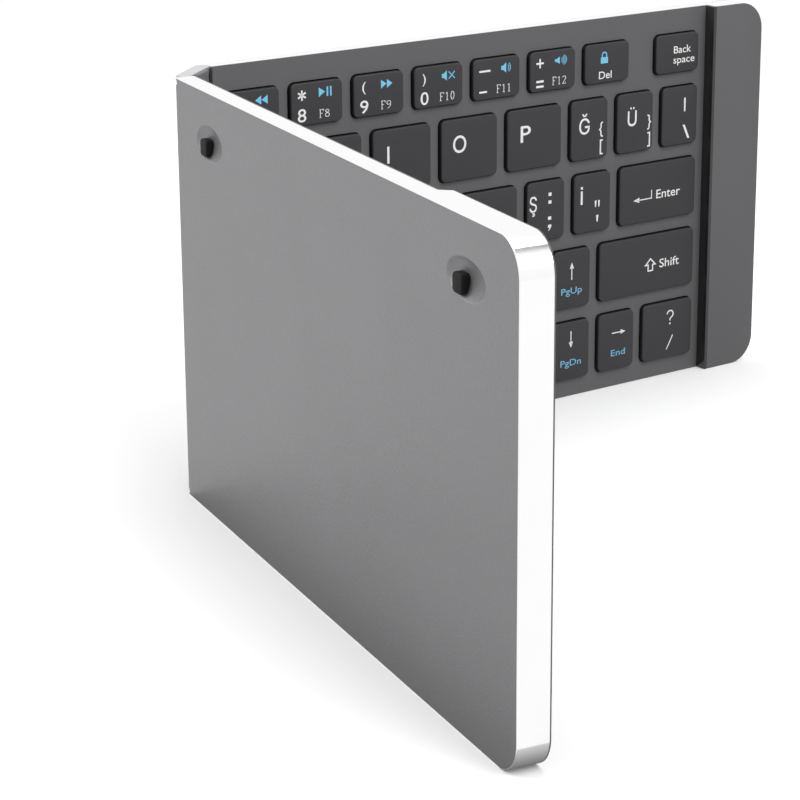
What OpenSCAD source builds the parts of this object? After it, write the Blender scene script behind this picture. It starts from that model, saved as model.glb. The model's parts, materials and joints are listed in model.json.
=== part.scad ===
// Folding keyboard: two key panels on a narrow spine with two hinge axes.
// It stands half open on its front long edge. +Z points to the rear edge of the keyboard,
// the keys face inwards and towards -Y, and the origin is the centre of the footprint.
//
// Each panel is drawn in its own frame: u runs from the panel's hinge end to its far end,
// v runs from the back face towards the keys, and z runs from the front edge to the rear edge.

/* [Panels] */
// Thickness of a panel from its back face to its key deck
panel_thick = 4.3; // [3.9:0.1:5.5]
// Radius of the two rounded corners at a panel's far end
corner_radius = 6.8; // [5:0.2:7.8]
// Wall of the edge frame
frame_wall = 1.5; // [1.2:0.1:1.8]
// Width of the frame's rim round the back plate
back_rim = 0.5; // [0.3:0.1:0.8]
// Thickness of the aluminium back plate
back_plate_thick = 0.5; // [0.4:0.1:0.6]
// Thickness of the deck plate between the keys
deck_thick = 1.1; // [0.9:0.1:1.3]
// Thickness of the deck's lip over the edge frame
deck_lip = 0.35; // [0.25:0.05:0.5]

/* [Raised ends] */
// Height of the left raised end above the deck
left_raise = 2.2; // [1.8:0.1:3]
// Length of the ramp up to the left raised end
left_ramp = 1.6; // [0:0.1:2.4]
// Height of the right raised end above the deck
right_raise = 3.1; // [2.6:0.1:3.6]
// Length of the right raised end
right_raise_length = 15.1; // [14:0.1:20]
// Thickness of the black trim strip beside the right raised end
trim_thick = 0.8; // [0.5:0.1:1.2]
// Wall of the end covers
cover_wall = 1; // [0.8:0.1:1.3]

/* [Hinge] */
// Fold of each panel against the spine in the standing pose, 0 is flat and 90 is shut
fold_angle = 39.75; // [10:0.25:80]
// Gap between the raised ends when the keyboard is shut
shut_gap = 1.8; // [0.3:0.1:2.4]
// Distance from a hinge axis to the end face of its panel
hinge_to_end = 1.6; // [1.4:0.1:2]
// Radius of the spine's round edges
barrel_radius = 1.7; // [1.5:0.05:1.8]
// Radius of a hinge pin
pin_radius = 0.8; // [0.6:0.05:0.9]
// Length of a hinge pin
pin_length = 11; // [9:0.5:16]
// Height of a leaf's knuckle
knuckle_height = 3; // [2.4:0.1:3.4]
// Thickness of the spine's end lugs
lug_thick = 1.2; // [0.8:0.1:1.3]
// Length of a leaf's arm inside the panel
leaf_reach = 20; // [14:1:26]
// Thickness of a leaf's arm
leaf_thick = 0.8; // [0.6:0.1:1]

/* [Keys] */
// Gap between neighbouring keycaps in a row
key_gap = 3; // [2.6:0.1:4]
// Distance from the hinge end to the first keycap
key_start = 2.5; // [2.3:0.1:4]
// Width of a letter key
letter_width = 16; // [14:0.1:18]
// Width of a narrow key
narrow_width = 11.2; // [10:0.1:13]
// Width of the outer keys of the left panel's three middle rows
edge_key_width = 17.5; // [14:0.1:20]
// Width of the Enter key
enter_width = 24.2; // [20:0.1:28]
// Height of the keycaps in the lower four rows
key_height = 14.4; // [12:0.1:18]
// Height of the keycaps in the number row
number_height = 9.4; // [8:0.1:14]
// Gap between two rows of keycaps
row_gap = 3.6; // [2.6:0.1:5]
// Gap between the front hinge knuckle and the lowest keycap, along z
front_gap = 0.2; // [0.1:0.1:3]
// Gap between the number row and the rear hinge knuckle, along z
rear_gap = 1.4; // [1:0.1:4]
// Gap between a row's last keycap and the raised end
end_gap = 3; // [1.5:0.1:5]
// Radius of a keycap's corners
key_corner = 1.3; // [0.8:0.1:2]
// Height of a keycap's top above the deck
key_rise = 1.1; // [0.9:0.1:1.4]
// Travel of a key
key_travel = 1.2; // [0.8:0.1:1.3]
// Thickness of a keycap's top
cap_top = 0.8; // [0.6:0.1:1]
// Wall of a keycap's skirt
cap_wall = 0.9; // [0.7:0.1:1.1]
// Clearance between a keycap and its opening in the deck
key_clearance = 0.3; // [0.2:0.05:0.4]

/* [Inside] */
// Thickness of the steel base plate
base_thick = 0.3; // [0.2:0.05:0.4]
// Thickness of the switch membrane
membrane_thick = 0.2; // [0.1:0.05:0.25]
// Height of the rails that carry the base plate, from the back face
rail_top = 1.4; // [1.35:0.05:1.5]
// Gap round the battery in the left raised end
battery_gap = 2; // [1:0.1:4]
// Thickness of the battery
battery_thick = 4; // [3:0.1:4.8]
// Width of the main board
board_width = 11; // [8:0.5:12]
// Thickness of the main board
board_thick = 0.8; // [0.6:0.1:1]
// Height of the board's supports above the back plate
board_stand = 1.2; // [0.9:0.1:1.5]
// Distance from the front and rear edges to the main board's ends
board_margin = 7; // [6:0.5:20]
// Width of the charging socket's shell along z
socket_width = 7.6; // [7:0.1:8]
// Thickness of the charging socket's shell
socket_thick = 2.5; // [2.2:0.1:2.8]
// Depth of the charging socket's shell
socket_depth = 5.5; // [5:0.1:6]
// Distance from the rear edge down to the middle of the charging socket
socket_drop = 33; // [20:0.5:60]
// Radius of the magnets
magnet_radius = 3; // [2:0.1:3.5]
// Thickness of the magnets
magnet_thick = 1.5; // [1:0.1:1.6]
// Distance from the front and rear edges to the magnets
magnet_inset = 11; // [8:0.5:14]
// Width of the flat cable
cable_width = 16; // [8:0.5:30]
// Radius of a rubber dome's foot
dome_radius = 2.5; // [1.4:0.1:2.8]
// Longest scissor link
link_length = 8.6; // [7:0.1:10]
// Tallest scissor link
link_height = 10.2; // [8:0.1:11]

/* [Feet] */
// Half length of the oval dish round a foot
dish_half_length = 7.2; // [6:0.1:8]
// Half height of the oval dish round a foot
dish_half_height = 3.7; // [3.2:0.1:4]
// Depth of the dish
dish_depth = 0.7; // [0.5:0.1:0.8]
// Distance from the hinge end to the near dish
near_dish = 19; // [17:0.5:22]
// Distance from the far end to the far dish
far_dish_inset = 19; // [17:0.5:22]
// Distance from the rear edge down to the dishes
dish_margin = 10.6; // [10:0.1:12]
// Side of a rubber foot
foot_side = 3.4; // [3:0.1:4]
// Height of a rubber foot above the back face
foot_proud = 1.2; // [0.6:0.1:1.4]
// Offset of a foot from its dish's middle towards the hinge
foot_inwards = 0.7; // [0:0.1:1.2]
// Offset of a foot from its dish's middle towards the front edge
foot_down = 0.8; // [0:0.1:1]

/* [Hidden] */
$fn = 48;
ARC_STEPS = 12;
KEY_ARC_STEPS = 4;
CLEAR = 0.1;
SEAT_CLEAR = 0.05;
PIN_FIT = 0.01;
KNUCKLE_FIT = 0.03;
KNUCKLE_PLAY = 0.05;
BARREL_CLEAR = 0.15;
EPS = 0.01;

SILVER = "#f2f2f4";
BACK_GREY = "#868688";
DECK_GREY = "#5e5e60";
KEY_GREY = "#444446";
BLACK = "#1c1c1e";
STEEL = "#b8bcc0";
SPINE_GREY = "#dfdfdf";

// Depths from the back face
deck_v = panel_thick;
deck_under_v = deck_v - deck_thick;
frame_top_v = deck_v - deck_lip;
base_v = rail_top;
membrane_v = base_v + base_thick;
stack_v = membrane_v + membrane_thick;
cap_top_v = deck_v + key_rise;
cap_under_v = cap_top_v - cap_top;
skirt_v = stack_v + key_travel + BARREL_CLEAR;

// Stations along u, from the keys outwards
right_end = key_start + 5 * letter_width + 3 * narrow_width + 7 * key_gap;
left_end = key_start + 5 * letter_width + edge_key_width + 5 * key_gap;
right_step = right_end + end_gap;
right_cover_step = right_step + trim_thick;
left_step = left_end + end_gap;
panel_length = right_cover_step + right_raise_length;
inner_end = panel_length - frame_wall;
far_dish = panel_length - far_dish_inset;
sheet_gap = 0.3;
base_start = frame_wall + sheet_gap;
wall_clear = frame_wall + CLEAR;
rail_short = 2;
rib_short = 4;
magnet_back = inner_end - 2;
ledge_bearing = 2;
socket_mouth = panel_length - 0.2;

// Hinge
LEAF_GAP = 0.3;
hinge_depth = deck_under_v - LEAF_GAP - leaf_thick / 2;
deck_above_axis = panel_thick - hinge_depth;
axis_gap = left_raise + right_raise + shut_gap + 2 * deck_above_axis;
groove_radius = barrel_radius + BARREL_CLEAR;
pin_bore = pin_radius + PIN_FIT;
knuckle_bore = pin_radius + KNUCKLE_FIT;
knuckle_radius = barrel_radius - CLEAR;
spine_z = 0.2;
web_under = 1.2;
cover_thick = 1.2;
cover_play = 0.2;
inner_cover = left_raise + right_raise + shut_gap - 2 * cover_play;
cable_slot = 0.6;
cable_thick = 0.2;
cable_tail = 0.5;
front_knuckle_z = spine_z + lug_thick + CLEAR;

// Stations along z, from the front edge to the rear edge
row_pitch = key_height + row_gap;
front_margin = front_knuckle_z + knuckle_height + front_gap;
rear_knuckle_z = front_margin + 4 * row_pitch + number_height + rear_gap;
panel_height = rear_knuckle_z + knuckle_height + front_knuckle_z;
sheet_over = 0.2;
sheet_top = rear_knuckle_z - rear_gap + sheet_over;
cable_z = [(panel_height - cable_width) / 2, (panel_height + cable_width) / 2];
board_v = back_plate_thick + board_stand;
socket_v = board_v + board_thick;
socket_z = panel_height - socket_drop - socket_width / 2;

// Placing the standing keyboard on the centre of its footprint
function world_y(u, v) =
    -(hinge_to_end + u) * sin(fold_angle) + (hinge_depth - v) * cos(fold_angle);
front_y = world_y(panel_length, panel_thick + max(left_raise, right_raise));
centre_y = (front_y + barrel_radius) / 2;

// Rows of keys, counted from the front row, as widths from the hinge outwards
number_width = (left_end - key_start - 6 * key_gap) / 7;
right_space = right_end - key_start - 4 * narrow_width - letter_width - 5 * key_gap;
right_h_width = right_end - key_start - 3 * letter_width - 2 * narrow_width - enter_width
    - 6 * key_gap;
shift_width = right_end - key_start - 4 * letter_width - 2 * narrow_width - 6 * key_gap;
left_space = left_end - key_start - 4 * number_width - 4 * key_gap;
left_middle = [for (i = [0:5]) i < 5 ? letter_width : edge_key_width];
LEFT_ROWS = [
    [left_space, number_width, number_width, number_width, number_width],
    left_middle,
    left_middle,
    left_middle,
    [for (i = [0:6]) number_width]
];
RIGHT_ROWS = [
    [right_space, narrow_width, narrow_width, narrow_width, narrow_width, letter_width],
    [narrow_width, letter_width, letter_width, letter_width, letter_width, narrow_width,
     shift_width],
    [right_h_width, letter_width, letter_width, letter_width, narrow_width, narrow_width,
     enter_width],
    [letter_width, letter_width, letter_width, letter_width, letter_width, narrow_width,
     narrow_width, narrow_width],
    [for (i = [0:7]) number_width]
];
NUMBER_ROW = 4;

function sum_to(list, n) = n <= 0 ? 0 : list[n - 1] + sum_to(list, n - 1);
// A key is [u, z, width, height]
function key_z(row) = front_margin + row * row_pitch;
function key_u(rows, row, i) =
    rows == RIGHT_ROWS && row == NUMBER_ROW && i == 7
        ? right_end - number_width
        : key_start + sum_to(rows[row], i) + i * key_gap;
function key_box(rows, row, i) = [
    key_u(rows, row, i),
    key_z(row),
    rows[row][i],
    row == NUMBER_ROW ? number_height : key_height
];
function all_keys(rows) = [
    for (row = [0:len(rows) - 1]) for (i = [0:len(rows[row]) - 1]) key_box(rows, row, i)
];

// ---- outlines in the u-z plane ----
function arc(cu, cz, r, from, to, steps) = [
    for (i = [0:steps]) let (a = from + (to - from) * i / steps) [cu + r * cos(a), cz + r * sin(a)]
];

// Panel outline from station start to the far end, drawn in by inset
function panel_outline(start, inset) =
    let (r = corner_radius - inset, cu = panel_length - corner_radius)
    concat(
        [[start, inset]],
        arc(cu, corner_radius, r, -90, 0, ARC_STEPS),
        arc(cu, panel_height - corner_radius, r, 0, 90, ARC_STEPS),
        [[start, panel_height - inset]]
    );

function rounded_box(u, z, w, h, r) = concat(
    arc(u + w - r, z + r, r, -90, 0, KEY_ARC_STEPS),
    arc(u + w - r, z + h - r, r, 0, 90, KEY_ARC_STEPS),
    arc(u + r, z + h - r, r, 90, 180, KEY_ARC_STEPS),
    arc(u + r, z + r, r, 180, 270, KEY_ARC_STEPS)
);

module outline(start, inset) polygon(panel_outline(start, inset));

module key_shape(key, grow)
    polygon(rounded_box(key[0] - grow, key[1] - grow, key[2] + 2 * grow, key[3] + 2 * grow,
        max(0.3, key_corner + grow)));

// Raises an outline in the u-z plane between two depths
module slab(v_from, v_to)
    translate([hinge_to_end, hinge_depth - v_from, 0])
        rotate([90, 0, 0])
            linear_extrude(v_to - v_from)
                children();

// Runs a profile in the u-v plane along z
module run(z_from, z_to)
    translate([hinge_to_end, hinge_depth, z_from])
        mirror([0, 1, 0])
            linear_extrude(z_to - z_from)
                children();

module box(u, v, z)
    translate([hinge_to_end + u[0], hinge_depth - v[1], z[0]])
        cube([u[1] - u[0], v[1] - v[0], z[1] - z[0]]);

// ---- placing ----
module on_right()
    translate([axis_gap / 2, -centre_y, 0]) rotate([0, 0, -fold_angle]) children();

module on_left()
    translate([-axis_gap / 2, -centre_y, 0]) rotate([0, 0, fold_angle]) mirror([1, 0, 0])
        children();

module on_spine() translate([0, -centre_y, 0]) children();

// ---- panel pieces, the same for both sides ----
module dish(u, grow) {
    // An ellipsoid cap as deep as the dish, whose rim lies in the back face. A larger lift flattens it
    lift = 0.6;
    r = sqrt(1 + lift * lift);
    translate([hinge_to_end + u, hinge_depth, panel_height - dish_margin])
        scale([
            dish_half_length + grow,
            (dish_depth + grow) / (r - lift),
            dish_half_height + grow
        ])
            translate([0, lift, 0]) sphere(r);
}

module foot_shape(u)
    polygon(rounded_box(u - foot_inwards - foot_side / 2,
        panel_height - dish_margin - foot_down - foot_side / 2, foot_side, foot_side, foot_side / 4));

module back_plate() difference() {
    union() {
        slab(0, back_plate_thick) outline(back_rim + SEAT_CLEAR, back_rim + SEAT_CLEAR);
        for (u = [near_dish, far_dish])
            intersection() {
                dish(u, back_plate_thick);
                box(
                    [u - 2 * dish_half_length, u + 2 * dish_half_length],
                    [back_plate_thick / 2, dish_depth + 2 * back_plate_thick],
                    [panel_height - 2 * dish_margin, panel_height - 2 * back_rim]
                );
            }
    }
    for (u = [near_dish, far_dish]) {
        dish(u, 0);
        slab(-EPS, dish_depth) foot_shape(u);
    }
}

module rubber_feet() for (u = [near_dish, far_dish]) slab(-foot_proud, dish_depth) foot_shape(u);

// Side profile of the frame: as high as the deck's lip, then up to the raised end
function frame_profile(step, ramp, raise) = [
    [0, 0], [panel_length, 0], [panel_length, frame_top_v + raise],
    [step + ramp, frame_top_v + raise], [step, frame_top_v], [0, frame_top_v]
];

rail_bearing = 0.9;
module leaf_pad(z_from, z_to) {
    box([0, leaf_reach], [rail_top - EPS, hinge_depth - leaf_thick / 2], [z_from, z_to]);
}

module edge_frame(step, ramp, raise) {
    arm_top = hinge_depth + leaf_thick / 2;
    difference() {
        union() {
            difference() {
                intersection() {
                    slab(0, frame_top_v + raise) outline(0, 0);
                    run(0, panel_height) polygon(frame_profile(step, ramp, raise));
                }
                slab(-1, panel_thick + raise + 1) outline(frame_wall, frame_wall);
            }
            // Rim that holds the back plate's edge, and the rails that carry the base plate
            for (z = [[frame_wall - EPS, front_margin + rail_bearing],
                      [sheet_top - rail_bearing, panel_height - frame_wall + EPS]])
                box([frame_wall - EPS, step - rail_short], [back_plate_thick, rail_top], z);
            box([frame_wall - EPS, base_start + rail_bearing], [back_plate_thick, rail_top],
                [frame_wall, panel_height - frame_wall]);
            leaf_pad(frame_wall - EPS, front_knuckle_z + knuckle_height);
            leaf_pad(rear_knuckle_z, panel_height - frame_wall + EPS);
        }
        // Seat of the back plate
        slab(-1, back_plate_thick) outline(back_rim, back_rim);
        // Groove for the spine's round edge
        translate([0, 0, -1]) cylinder(r = groove_radius, h = panel_height + 2);
        // Slots for the leaves' arms
        for (z = [front_knuckle_z, rear_knuckle_z])
            box([-1, leaf_reach + CLEAR], [hinge_depth - leaf_thick / 2, arm_top + CLEAR],
                [z, z + knuckle_height]);
        // Slot for the flat cable
        box([-1, frame_wall + 1], [rail_top + CLEAR, arm_top + CLEAR],
            [cable_z[0] - CLEAR, cable_z[1] + CLEAR]);
        // Room for the backs of the dishes
        for (u = [near_dish, far_dish]) dish(u, back_plate_thick + SEAT_CLEAR);
    }
}

rib_thick = 0.8;
module deck(rows, step) {
    keys = all_keys(rows);
    difference() {
        union() {
            slab(frame_top_v, deck_v) intersection() {
                outline(0, 0);
                square([step, panel_height]);
            }
            slab(deck_under_v, frame_top_v + EPS) intersection() {
                outline(wall_clear, wall_clear);
                square([step - CLEAR, panel_height]);
            }
            // Ribs between the rows press the membrane down
            for (row = [1:NUMBER_ROW])
                box([key_start, step - rib_short], [stack_v, deck_under_v + EPS],
                    [key_z(row) - (row_gap + rib_thick) / 2, key_z(row) - (row_gap - rib_thick) / 2]);
        }
        for (key = keys) slab(deck_under_v - 1, deck_v + 1) key_shape(key, key_clearance);
        // Groove for the spine's round edge
        translate([0, 0, -1]) cylinder(r = groove_radius, h = panel_height + 2);
    }
}

module keycap(key) {
    difference() {
        slab(skirt_v, cap_top_v) key_shape(key, 0);
        slab(skirt_v - 1, cap_under_v) key_shape(key, -cap_wall);
    }
}

module keycaps(rows, row, from, to) for (i = [from:to]) keycap(key_box(rows, row, i));

module base_plate(step) inner_sheet(step, base_v, membrane_v);
module membrane(step) inner_sheet(step, membrane_v, stack_v);
module inner_sheet(step, v_from, v_to)
    box([base_start, step - end_gap], [v_from, v_to], [front_margin, sheet_top]);

// Scissor links under a key as [length, height]: they fit inside the keycap's skirt
link_bar = 0.6;
link_end = 0.8;
link_slip = 0.2;
function link_size(key) = [
    min(link_length, key[2] - 2 * cap_wall - 2 * link_slip),
    min(link_height, key[3] - 2 * cap_wall - 2 * link_slip)
];
// A dome stands inside the inner link's opening
function dome_foot(key) = min(
    dome_radius,
    link_size(key)[0] / 2 - link_slip - link_end - CLEAR,
    link_size(key)[1] / 2 - link_slip - 2 * link_bar - CLEAR
);

module rubber_domes(rows) {
    wall = 0.4;
    crown_share = 0.5;
    rise = cap_under_v - stack_v;
    for (key = all_keys(rows)) {
        foot = dome_foot(key);
        crown = foot * crown_share;
        translate([hinge_to_end + key[0] + key[2] / 2, hinge_depth - stack_v, key[1] + key[3] / 2])
            rotate([90, 0, 0])
                difference() {
                    cylinder(r1 = foot, r2 = crown, h = rise);
                    translate([0, 0, -EPS])
                        cylinder(r1 = foot - wall, r2 = crown - wall, h = rise - wall);
                }
    }
}

module scissor_link(size, tilt) rotate([0, 0, tilt]) difference() {
    cube([size[0], link_bar, size[1]], center = true);
    cube([size[0] - 2 * link_end, link_bar + 1, size[1] - 2 * link_bar], center = true);
}

// Each key has an outer and an inner link, crossed like scissors round the dome
module scissors(rows) {
    rise = cap_under_v - stack_v;
    // The links stop short of the slope that would touch cap and membrane
    slope_share = 0.9;
    for (key = all_keys(rows)) {
        size = link_size(key);
        tilt = asin((rise - link_bar) / size[0]) * slope_share;
        translate([
            hinge_to_end + key[0] + key[2] / 2,
            hinge_depth - (stack_v + cap_under_v) / 2,
            key[1] + key[3] / 2
        ]) {
            scissor_link(size, tilt);
            scissor_link([size[0] - 2 * link_slip, size[1] - 2 * (link_bar + link_slip)], -tilt);
        }
    }
}

// Side profiles of an end cover: the thin lip over the frame, and the shell inside the frame
function lip_profile(step, ramp, raise) = concat(
    ramp > 0 ? [[step, frame_top_v]] : [],
    [
        [step + ramp, frame_top_v + raise], [panel_length, frame_top_v + raise],
        [panel_length, deck_v + raise], [step + ramp, deck_v + raise]
    ],
    ramp > 0 ? [[step, deck_v]] : []
);
function shell_profile(step, ramp, top_v) =
    let (in_v = top_v - cover_wall, over_v = top_v - EPS)
    [
        [step, deck_v], [step + ramp, over_v], [panel_length, over_v], [panel_length, in_v],
        [step + ramp + cover_wall, in_v], [step + cover_wall, deck_v - EPS],
        [step + cover_wall, deck_under_v], [step, deck_under_v]
    ];

module end_cover(step, ramp, raise) {
    top_v = deck_v + raise;
    intersection() {
        slab(frame_top_v, top_v) outline(step, 0);
        run(0, panel_height) polygon(lip_profile(step, ramp, raise));
    }
    intersection() {
        slab(deck_under_v, top_v) outline(step, wall_clear);
        run(0, panel_height) polygon(shell_profile(step, ramp, top_v));
    }
}

module magnets(v_top) {
    for (z = [magnet_inset, panel_height - magnet_inset])
        translate([
            hinge_to_end + magnet_back - magnet_radius,
            hinge_depth - v_top + magnet_thick,
            z
        ])
            rotate([90, 0, 0]) cylinder(r = magnet_radius, h = magnet_thick);
}

module hinge_leaves() {
    for (z = [front_knuckle_z, rear_knuckle_z])
        difference() {
            union() {
                translate([0, 0, z + KNUCKLE_PLAY])
                    cylinder(r = knuckle_radius, h = knuckle_height - 2 * KNUCKLE_PLAY);
                translate([0, -leaf_thick / 2, z + CLEAR])
                    cube([hinge_to_end + leaf_reach, leaf_thick, knuckle_height - 2 * CLEAR]);
            }
            translate([0, 0, z - 1]) cylinder(r = knuckle_bore, h = knuckle_height + 2);
        }
}

// ---- left panel ----
module left_back_plate() color(BACK_GREY) on_left() back_plate();
module left_edge_frame() color(SILVER) on_left() edge_frame(left_step, left_ramp, left_raise);
module left_deck() color(DECK_GREY) on_left() deck(LEFT_ROWS, left_step);
module left_end_cover() color(DECK_GREY) on_left() end_cover(left_step, left_ramp, left_raise);
module left_rubber_feet() color(BLACK) on_left() rubber_feet();
module left_base_plate() color(STEEL) on_left() base_plate(left_step);
module left_membrane() color("#9fb6a8") on_left() membrane(left_step);
module left_rubber_domes() color("#d8d4c8") on_left() rubber_domes(LEFT_ROWS);
module left_scissors() color("#e8e8e4") on_left() scissors(LEFT_ROWS);
battery_ends = magnet_inset + magnet_radius + battery_gap;
module battery() color("#a8b4c4") on_left()
    box([left_step + left_ramp + battery_gap, inner_end - battery_gap],
        [back_plate_thick, back_plate_thick + battery_thick],
        [battery_ends, panel_height - battery_ends]);
module left_magnets() color(STEEL) on_left() magnets(deck_v + left_raise - cover_wall);
module left_hinge_leaves() color(STEEL) on_left() hinge_leaves();
module left_number_keys() color(KEY_GREY) on_left() keycaps(LEFT_ROWS, 4, 0, 6);
module left_upper_keys() color(KEY_GREY) on_left() keycaps(LEFT_ROWS, 3, 0, 5);
module left_home_keys() color(KEY_GREY) on_left() keycaps(LEFT_ROWS, 2, 0, 5);
module left_lower_keys() color(KEY_GREY) on_left() keycaps(LEFT_ROWS, 1, 0, 5);
module left_bottom_keys() color(KEY_GREY) on_left() keycaps(LEFT_ROWS, 0, 0, 4);

// ---- right panel ----
module right_back_plate() color(BACK_GREY) on_right() back_plate();
module right_edge_frame() color(SILVER) on_right() difference() {
    union() {
        edge_frame(right_cover_step, 0, right_raise);
        // Ledges under the main board's ends
        for (z = [[frame_wall - EPS, board_margin + ledge_bearing],
                  [panel_height - board_margin - ledge_bearing, panel_height - frame_wall + EPS]])
            box([inner_end - board_width, panel_length - corner_radius],
                [back_plate_thick, board_v], z);
    }
    box([panel_length - frame_wall - 1, panel_length + 1],
        [socket_v - CLEAR, socket_v + socket_thick + CLEAR],
        [socket_z - CLEAR, socket_z + socket_width + CLEAR]);
    dish(far_dish, back_plate_thick + SEAT_CLEAR);
}
module right_deck() color(DECK_GREY) on_right() deck(RIGHT_ROWS, right_cover_step);
module right_end_cover() color(DECK_GREY) on_right() end_cover(right_cover_step, 0, right_raise);
module right_trim_strip() color(BLACK) on_right()
    box([right_step, right_cover_step], [deck_v, deck_v + right_raise], [0, panel_height]);
module right_rubber_feet() color(BLACK) on_right() rubber_feet();
module right_base_plate() color(STEEL) on_right() base_plate(right_step);
module right_membrane() color("#9fb6a8") on_right() membrane(right_step);
module right_rubber_domes() color("#d8d4c8") on_right() rubber_domes(RIGHT_ROWS);
module right_scissors() color("#e8e8e4") on_right() scissors(RIGHT_ROWS);

module main_board() color("#1f6b46") on_right()
    box([inner_end - CLEAR - board_width, inner_end - CLEAR], [board_v, socket_v],
        [board_margin, panel_height - board_margin]);
shell = 0.35;
module usb_socket() color(STEEL) on_right() difference() {
    box([socket_mouth - socket_depth, socket_mouth],
        [socket_v, socket_v + socket_thick], [socket_z, socket_z + socket_width]);
    box([socket_mouth - socket_depth + shell, panel_length + 1],
        [socket_v + shell, socket_v + socket_thick - shell],
        [socket_z + shell, socket_z + socket_width - shell]);
}
module right_magnets() color(STEEL) on_right() magnets(deck_v + right_raise - cover_wall);
module right_hinge_leaves() color(STEEL) on_right() hinge_leaves();

module right_key(row, i) color(KEY_GREY) on_right() keycap(key_box(RIGHT_ROWS, row, i));
module right_inner_upper_keys() color(KEY_GREY) on_right() {
    keycaps(RIGHT_ROWS, 3, 0, 1);
    keycaps(RIGHT_ROWS, 2, 0, 3);
}
module right_inner_lower_keys() color(KEY_GREY) on_right() {
    keycaps(RIGHT_ROWS, 1, 0, 4);
    keycaps(RIGHT_ROWS, 0, 0, 2);
}

// ---- spine ----
module each_axis() for (x = [-axis_gap / 2, axis_gap / 2]) translate([x, 0, 0]) children();

module spine_body() {
    height = panel_height - 2 * spine_z;
    web_out = barrel_radius - CLEAR;
    difference() {
        union() {
            each_axis() translate([0, 0, spine_z]) cylinder(r = barrel_radius, h = height);
            translate([-axis_gap / 2, -web_under, spine_z])
                cube([axis_gap, web_under + web_out, height]);
        }
        // Room for the knuckles
        each_axis() for (z = [front_knuckle_z, rear_knuckle_z])
            translate([0, 0, z - CLEAR])
                cylinder(r = groove_radius, h = knuckle_height + 2 * CLEAR);
        // Bores for the pins
        each_axis() {
            translate([0, 0, -1]) cylinder(r = pin_bore, h = 1 + spine_z + pin_length);
            translate([0, 0, panel_height - spine_z - pin_length])
                cylinder(r = pin_bore, h = 1 + spine_z + pin_length);
        }
        // Slot for the flat cable
        translate([-axis_gap, -cable_slot / 2, cable_z[0] - CLEAR])
            cube([2 * axis_gap, cable_slot, cable_width + 2 * CLEAR]);
    }
}

module hinge_pins() for (z = [spine_z, panel_height - spine_z - pin_length + CLEAR])
    translate([0, 0, z]) cylinder(r = pin_radius, h = pin_length - CLEAR);

module hinge_spine() color(SPINE_GREY) on_spine() spine_body();
module spine_inner_cover() color(DECK_GREY) on_spine()
    translate([-inner_cover / 2, -web_under - cover_thick, spine_z])
        cube([inner_cover, cover_thick, panel_height - 2 * spine_z]);
module left_hinge_pins() color(STEEL) on_spine() translate([-axis_gap / 2, 0, 0]) hinge_pins();
module right_hinge_pins() color(STEEL) on_spine() translate([axis_gap / 2, 0, 0]) hinge_pins();
module flex_cable() color("#c8882a") on_spine()
    translate([-axis_gap / 2 - cable_tail, -cable_slot / 2, cable_z[0]])
        cube([axis_gap + 2 * cable_tail, cable_thick, cable_width]);

left_back_plate();
left_edge_frame();
left_deck();
left_end_cover();
left_rubber_feet();
left_base_plate();
left_membrane();
left_rubber_domes();
left_scissors();
battery();
left_magnets();
left_hinge_leaves();
left_number_keys();
left_upper_keys();
left_home_keys();
left_lower_keys();
left_bottom_keys();
right_back_plate();
right_edge_frame();
right_deck();
right_end_cover();
right_trim_strip();
right_rubber_feet();
right_base_plate();
right_membrane();
right_rubber_domes();
right_scissors();
main_board();
usb_socket();
right_magnets();
right_hinge_leaves();
right_inner_upper_keys();
right_inner_lower_keys();
right_key(4, 0);  // key_7
right_key(4, 1);  // key_8
right_key(4, 2);  // key_9
right_key(4, 3);  // key_0
right_key(4, 4);  // key_minus
right_key(4, 5);  // key_equals
right_key(4, 6);  // key_delete
right_key(4, 7);  // key_backspace
right_key(3, 2);  // key_i
right_key(3, 3);  // key_o
right_key(3, 4);  // key_p
right_key(3, 5);  // key_g_breve
right_key(3, 6);  // key_u_umlaut
right_key(3, 7);  // key_backslash
right_key(2, 4);  // key_s_cedilla
right_key(2, 5);  // key_i_dotted
right_key(2, 6);  // key_enter
right_key(1, 5);  // key_up
right_key(1, 6);  // key_shift
right_key(0, 3);  // key_down
right_key(0, 4);  // key_right
right_key(0, 5);  // key_slash
hinge_spine();
spine_inner_cover();
left_hinge_pins();
right_hinge_pins();
flex_cable();
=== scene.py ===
"""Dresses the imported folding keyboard: finished surfaces, keycaps with their legends, a studio and a camera.

The file is laid out as an add-on and is run as a script. Every place is in metres in the part's own frame.
A panel's own places are (u, v, z): u from its hinge end outwards, v from its back face towards the keys,
z from the front long edge to the rear one.
"""

import json
import math

import bmesh
import bpy
import numpy as np
from bpy.props import FloatProperty, FloatVectorProperty, PointerProperty
from mathutils import Euler, Matrix


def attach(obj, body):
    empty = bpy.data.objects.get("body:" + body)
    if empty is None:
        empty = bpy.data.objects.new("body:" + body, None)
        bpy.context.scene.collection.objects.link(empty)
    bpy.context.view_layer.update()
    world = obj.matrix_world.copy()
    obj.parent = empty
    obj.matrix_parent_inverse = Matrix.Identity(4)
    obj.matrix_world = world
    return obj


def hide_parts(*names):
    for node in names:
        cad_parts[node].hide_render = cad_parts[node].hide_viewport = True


bl_info = {
    "name": "Folding Keyboard",
    "version": (1, 0, 0),
    "blender": (4, 5, 0),
    "location": "View3D > Sidebar > Keyboard",
    "description": "Builds the finished surfaces of a folding keyboard on its packed frame",
    "category": "Object",
}

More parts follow.
